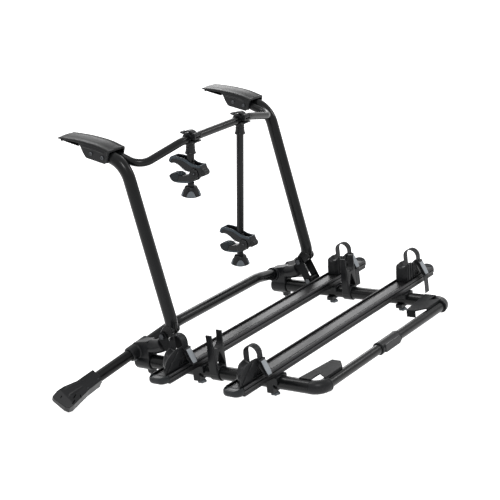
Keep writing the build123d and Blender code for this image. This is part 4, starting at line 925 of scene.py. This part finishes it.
PAD_RIBS = 9
BOLT_YS = (42.0, 83.5)
BOLT_FROM = (36.0, 626.0)
PITCH = radians(14.5)
cover_nylon = finish("satin_hook_cover_nylon", "#161718", "#222324", 0.42, SPARK_MM, 0.15)


def housing(pairs):
    """Pairs of shares of the housing's length, in mm ahead of and over the hub line."""
    return [Vector((HOUSING_AT[0] + a * HOUSING_L, HOUSING_AT[1] + b * HOUSING_L)) for a, b in pairs]


for name, side in SIDES.items():
    middle_x = side * (HOUSING_IN + HOUSING_OUT) / 2
    run = smooth_run(housing(TOP_LINE), 7)
    rings = []
    for k, at in enumerate(run):
        along = heading(run, k)
        up = Vector((-along.y, along.x))
        thin = 1 - 0.45 * max(0.0, k / (len(run) - 1) - 0.55) / 0.45
        heights = [z * (thin if z < 0 else 1) - SKIN_SUNK for _, z in SKIN_SHAPE]
        rings.append([(middle_x + x, at.x + up.x * rise, at.y + up.y * rise)
                      for (x, _), rise in zip(SKIN_SHAPE, heights)])
    blade = rounded(loft(f"hook_blade_{name}", rings, hub_frame, cover_nylon), 0.6, crisp=32)

    outline = housing(PLATE_LINE)
    parts = []
    for face in (HOUSING_IN, HOUSING_OUT - PLATE_T):
        x = face if side > 0 else -face - PLATE_T
        parts.append(prism("plate", outline, x, x + PLATE_T, crosswise(hub(0, 0, 0)), nylon))
    for face in (HOUSING_IN - 0.6, HOUSING_OUT + 0.6):
        rail = [(side * face, *p) for p in housing(RAIL_LINE)]
        parts.append(tube_run("rail", rail, RAIL_R, hub_frame, nylon, ends=0.8))
    low, high = outline[:2]
    up = (high - low).normalized()
    back = Vector((-up.y, up.x))
    rings = []
    for reach, shift in COLLAR_STEPS:
        half = COLLAR_HALF + reach
        foot, top = low - up * reach * 0.4, high + up * (reach * 0.9 + 1.5)
        outside = mirrored((-half, foot), (-half, top - up * 5), (-half + 5, top))
        inside = mirrored((COLLAR_IN, foot), (COLLAR_IN, top - up * 8), (28, top - up * 4.6))
        rings.append([(middle_x + x, at.x + back.x * shift, at.y + back.y * shift)
                      for x, at in outside + inside])
    parts.append(loft("rim", rings, hub_frame, nylon))
    body = fused(parts, 1.1, 3, name=f"hook_side_plates_{name}")
    dress("powder_black", "upper_frame", body, blade, node=f"hook_housing_{name}")

    spots = []
    for y in BOLT_YS:
        z = BOLT_FROM[1] + tan(PITCH) * (y - BOLT_FROM[0])
        spots += [((side * HOUSING_OUT, y, z), (side, 0, 0)), ((side * HOUSING_IN, y, z), (-side, 0, 0))]
    screws(f"hook_screws_{name}", spots, "upper_frame", radius=6.2, height=2.6)

    start, end = (Vector(PAD_LINE[0]).lerp(Vector(PAD_LINE[1]), share) for share in PAD_SHARES)
    start, end = housing((start, end))
    along = (end - start).normalized()
    pad_frame = local(hub(middle_x, *start), (0, *along), (0, along.y, -along.x))
    length = (end - start).length
    pad = prism("pad", [(0, 0), (length, 0), (length, 2.6), (2, 3.0)], -30, 30, pad_frame, sole_rubber)
    lip = prism("lip", [(length - 1, 0), (length + 7, -2.2), (length + 6.2, 3.6), (length + 2.4, 4.2),
                        (length - 1, 2.4)], -33, 33, pad_frame, sole_rubber)
    grip = rounded(fused([pad, lip], 1.0, 2, keep=0.35, name=f"hook_rubber_{name}"), 0.4, steps=1)
    face = pad_frame.to_3x3().normalized() @ Vector((0, 1, 0))
    spots = [(pad_frame @ Vector((4 + (length - 10) * k / (PAD_RIBS - 1), 3.4, 0)), face, Vector((1, 0, 0)))
             for k in range(PAD_RIBS)]
    ribs = cross_bars(f"hook_rubber_ribs_{name}", spots, 58, 1.8, 1.6, sole_rubber)
    dress("pad_rubber", "upper_frame", grip, ribs)
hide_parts("hook_pads")
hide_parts("hook_bolts")

# Holder clamps: a nylon ring round the cross bar that a cam lever pinches shut, on a tapered collar that
# the stem is pushed into. The lever's paddle lies over the bar.
HOLDERS = {"left": (-126.0, 102.0), "right": (126.0, 404.0)}
BAR_AT = (-79.0, 627.0)
PLUMB = radians(7.93)
AHEAD = Vector((0, cos(PLUMB), sin(PLUMB)))
UP = Vector((0, -sin(PLUMB), cos(PLUMB)))
BAR_BORE_R = 12.1
KNUCKLE_AT = (-23, 14.3)
KNUCKLE_R = 7.6
KNUCKLE_X = 13.97
BANDS = ((27, 13.5), (44, 16.0))
BAND_EDGE = ((-2.5, -1.2), (-1.6, 0.9), (1.6, 0.9), (2.5, -1.2))
lever_nylon = finish("grey_black_lever_nylon", "#1f2022", "#2b2c2e", 0.36, SPARK_MM, 0.15)


def hang(name, ahead, up):
    """Metres, from mm on a holder: ahead of its bar, and up along its stem."""
    return hub(HOLDERS[name][0], BAR_AT[0] + ahead * cos(PLUMB) - up * sin(PLUMB),
               BAR_AT[1] + ahead * sin(PLUMB) + up * cos(PLUMB))


for name in HOLDERS:
    side_view = local(hang(name, 0, 0), AHEAD, UP)
    stem_frame = local(hang(name, 0, 0), (1, 0, 0), AHEAD)
    outline = [(KNUCKLE_AT[0] + x, KNUCKLE_AT[1] + y) for x, y, _ in ring(20, lambda _: KNUCKLE_R, 0)]
    knuckles = [prism("knuckle", outline, x - 2, x + 2, side_view, nylon) for x in (-KNUCKLE_X, KNUCKLE_X)]
    bands = [drum("band", [(-z + dz, r + dr) for dz, dr in BAND_EDGE], stem_frame, nylon) for z, r in BANDS]
    clamp = moulded(f"holder_clamp_{name}", f"bar_clamp_{name}", 1.0, 3, *knuckles, *bands)
    cut(clamp, drum("clear", [(-30, BAR_BORE_R), (30, BAR_BORE_R)], crosswise(hang(name, 0, 0)), nylon))
    dress("moulded_black", f"holder_{name}", clamp, node=f"holder_clamp_{name}")
    lever = moulded(f"holder_lever_{name}", f"clamp_lever_{name}", 0.8, 3, keep=0.4, material=lever_nylon)
    dress("moulded_black", f"holder_lever_{name}", lever, node=f"holder_lever_{name}")

# Claws: a nylon shell on a ball at the stem's end, open along its top and edged with a blue-grey rubber
# rim, and a jaw on a steel pivot under it, with a dark rubber pad at its toe. Rubber teeth on both hold a
# bike's frame tube. The upper row starts past the slot for the claw knob's screw.
CLAW_L = 99.0
PIVOT_BACK = 24.0
CLAW_HALF = 15.0
UPPER_TOP = ((0.96, 0.23), (0.87, 0.39), (0.67, 0.415), (0.44, 0.40), (0.27, 0.355), (0.10, 0.29),
             (-0.10, 0.275), (-0.23, 0.29))
UPPER_LOW = ((0.19, 0.02), (0.33, 0.04), (0.44, 0.09), (0.59, 0.176), (0.75, 0.222), (0.92, 0.185))
LOWER_TOP = ((0.95, -0.24), (0.86, -0.165), (0.68, -0.125), (0.50, -0.157), (0.33, -0.113), (0.18, -0.055))
LOWER_LOW = ((0.02, -0.245), (0.21, -0.32), (0.39, -0.36), (0.60, -0.387), (0.78, -0.388), (0.89, -0.335))
TROUGH = (-4.0, 11.0)
TROUGH_HALF = 10.5
RIM_LINES = (-1.2, 6.8)
RIM_T = 3.4
JAW_RIM_LINES = (-1.0, 4.6)
JAW_RIM_T = 3.2
BALL_AT = 22
BALL_R = 14
BARREL_AT = (-0.19, 0.08)
BARREL = mirrored((-13.6, 5), (-13.6, 8.6), (-12.6, 9.8))
PIVOT = mirrored((-18.4, 4.6), (-18.4, 6.6), (-17.2, 7.0), (-17.2, 11.6), (-18.1, 12.2), (-18.1, 14.4),
                 (-17.0, 15.4))
BOLT = mirrored((-18.7, 4.4), (-18.7, 3.0), (-17.4, 2.6))
UPPER_TEETH = 19
LOWER_TEETH = 12
rim_rubber = finish("blue_grey_grip_rubber", "#414a50", "#535c63", 0.5, 1.0, 0.35, patch_mm=20.0)
grip_rubber = finish("dark_grip_rubber", "#1f2427", "#2c3236", 0.5, 1.0, 0.3, patch_mm=20.0)


def claw_line(pairs):
    """A smooth line on the claw's side view, from shares of its length, in mm."""
    return smooth_run([Vector(pair) * CLAW_L for pair in pairs], 5)


def offset_line(points, by):
    """The same open line moved sideways, to the left of its direction."""
    ways = [heading(points, k) for k in range(len(points))]
    return [at + Vector((-way.y, way.x)) * by for at, way in zip(points, ways)]


def strips(name, line, lines, spans, place, material):
    """Pieces that lie along a line between two distances from it, each over a span of the frame's Z."""
    outer, inner = (offset_line(line, by) for by in lines)
    return [prism(name, outer[part] + inner[part][::-1], low, high, place, material)
            for part, low, high in spans]


def rubber_teeth(name, line, place, lift, sizes, edge_mm):
    """A row of cross bars on a line of the side view, each standing out to the right of its direction."""
    turn = place.to_3x3().normalized()
    spots = []
    for k, at in enumerate(line):
        along = heading(line, k)
        face = turn @ Vector((along.y, -along.x, 0))
        spots.append((place @ at.to_3d() + face * lift, face, turn @ Vector((0, 0, 1))))
    return cross_bars(name, spots, *sizes, rim_rubber, edge_mm=edge_mm)


for name, (_, drop) in HOLDERS.items():
    place = local(hang(name, -PIVOT_BACK, -drop), AHEAD, UP)
    stem_frame = local(hang(name, 0, -drop), (1, 0, 0), AHEAD)
    top, low, jaw_top, jaw_low = map(claw_line, (UPPER_TOP, UPPER_LOW, LOWER_TOP, LOWER_LOW))

    shell = moulded(f"claw_{name}", f"claw_shell_{name}", 0.9, 2, keep=0.4)
    cut(shell, *strips("trough", top, TROUGH, [(slice(4, None), -TROUGH_HALF, TROUGH_HALF)], place, nylon))
    turns = [pi * k / 16 - pi / 2 for k in range(1, 16)]
    ball = settle(drum(f"claw_ball_{name}", [(BALL_AT + BALL_R * sin(a), BALL_R * cos(a)) for a in turns],
                       stem_frame, nylon))
    rim = fused(strips("rim", top, RIM_LINES, [
        *((slice(None), z, z + RIM_T) for z in (-CLAW_HALF - 1.2, CLAW_HALF - 2.2)),
        *((part, -CLAW_HALF - 1.0, CLAW_HALF + 1.0) for part in (slice(7), slice(-3, None)))],
        place, rim_rubber), 0.9, 3, keep=0.4, name=f"claw_rim_{name}")
    teeth = rubber_teeth(f"claw_serrations_{name}", resample(low, UPPER_TEETH)[3:-1], place, 0.0004,
                         (31.5, 2.1, 2.6), 0.5)
    barrel_frame = place @ Matrix.Translation((BARREL_AT[0] * CLAW_L, BARREL_AT[1] * CLAW_L, 0))
    barrel = settle(drum(f"claw_barrel_{name}", BARREL, barrel_frame, lever_nylon))
    dress("moulded_black", f"claw_{name}", shell, ball, barrel, node=f"claw_{name}")
    dress("blue_grey_rubber", f"claw_{name}", rim, teeth)

    jaw = moulded(f"jaw_{name}", f"claw_jaw_{name}", 0.9, 2, keep=0.4)
    disc = settle(drum(f"claw_pivot_{name}", PIVOT, place, nylon, sides=48))
    rod = settle(drum(f"claw_bolt_{name}", BOLT, place, black_zinc, sides=24))
    under = fused(strips("strip", jaw_low, JAW_RIM_LINES, [
        (slice(19), z, z + JAW_RIM_T) for z in (-CLAW_HALF - 1.0, CLAW_HALF - 2.2)],
        place, rim_rubber), 0.9, 3, keep=0.4, name=f"claw_jaw_rim_{name}")
    grip_line = offset_line(jaw_top, -1.6)
    toe = prism("toe", grip_line[:14] + offset_line(jaw_low, -0.6)[17:], -CLAW_HALF - 1.4, CLAW_HALF + 1.4,
                place, grip_rubber)
    pad = fused([toe], 0.9, 4, keep=0.4, name=f"claw_jaw_grip_{name}")
    ridges = rubber_teeth(f"claw_jaw_serrations_{name}", resample(grip_line[2:15], LOWER_TEETH), place, 0,
                          (27, 1.8, 2.0), 0.4)
    dress("moulded_black", f"jaw_{name}", jaw, disc, node=f"jaw_{name}")
    dress("zinc_bolt", f"jaw_{name}", rod)
    dress("blue_grey_rubber", f"jaw_{name}", under, pad, ridges)

# Claw knobs: torque limiting knobs in black nylon on a steel screw. Four shallow lobes flare to the rim,
# and each has a half-round grey finger inset.
KNOB_TOP = 46.0
KNOB_LOW = 76.0
KNOB_TOP_R = 19.0
KNOB_LOW_R = 29.5
KNOB_SECTIONS = (
    (35, 10), (44.5, 10.4), (45, 13), (KNOB_TOP, KNOB_TOP_R - 1.6), (48, KNOB_TOP_R), (58, 22.4),
    (68, 26.4), (73.5, KNOB_LOW_R), (75.4, KNOB_LOW_R), (KNOB_LOW, KNOB_LOW_R - 1.4), (KNOB_LOW, 20),
    (74.5, 18), (74.5, 6),
)
KNOB_SCREW = ((-46, 4), (-2.8, 4), (-2, 3.2))
LOBE_TURN = radians(217)
LOBE_SHARE = 0.055
INSET_TURN = radians(27)
INSET_ROWS = 8
inset_nylon = finish("grey_finger_inset_nylon", "#6a7075", "#7c8287", 0.46, SPARK_MM, 0.3)
for name, (_, drop) in HOLDERS.items():
    place = local(hang(name, 0, -drop), (1, 0, 0), AHEAD)
    rings = []
    for depth, r in KNOB_SECTIONS:
        share = 0 if r < 12 or depth > 75.9 and r < 25 else LOBE_SHARE
        rings.append(ring(96, lambda a: r * (1 - share * (0.5 - 0.5 * cos(4 * (a - LOBE_TURN)))), -depth))
    grip = settle(loft(f"claw_grip_{name}", rings, place, nylon), crisp=44)
    screw = settle(drum(f"claw_grip_screw_{name}", KNOB_SCREW, place, black_zinc, sides=20))
    insets = []
    for quarter in range(4):
        middle = LOBE_TURN + quarter * pi / 2
        rings = []
        for row in range(INSET_ROWS + 1):
            rise = row / INSET_ROWS * pi / 2
            depth = 74.2 - 17.5 * sin(rise)
            half = INSET_TURN * max(0.06, cos(rise)) ** 0.8
            r = KNOB_TOP_R + (KNOB_LOW_R - KNOB_TOP_R) * (depth - KNOB_TOP) / (73.5 - KNOB_TOP)
            rings.append([((r + lift) * cos(middle + half * t), (r + lift) * sin(middle + half * t), -depth)
                          for lift, ts in ((0.9, (-1, -0.6, -0.2, 0.2, 0.6, 1)), (-2.0, (1, 0.2, -0.2, -1)))
                          for t in ts])
        insets.append(loft("inset", rings, place, inset_nylon))
    inset = rounded(joined(insets, f"claw_grip_insets_{name}"), 0.4)
    dress("moulded_black", f"claw_knob_{name}", grip, node=f"claw_knob_{name}")
    dress("zinc_bolt", f"claw_knob_{name}", screw)
    dress("grey_knob", f"claw_knob_{name}", inset)


size = [[list(corner) for corner in box] for box in (cad_box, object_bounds())]
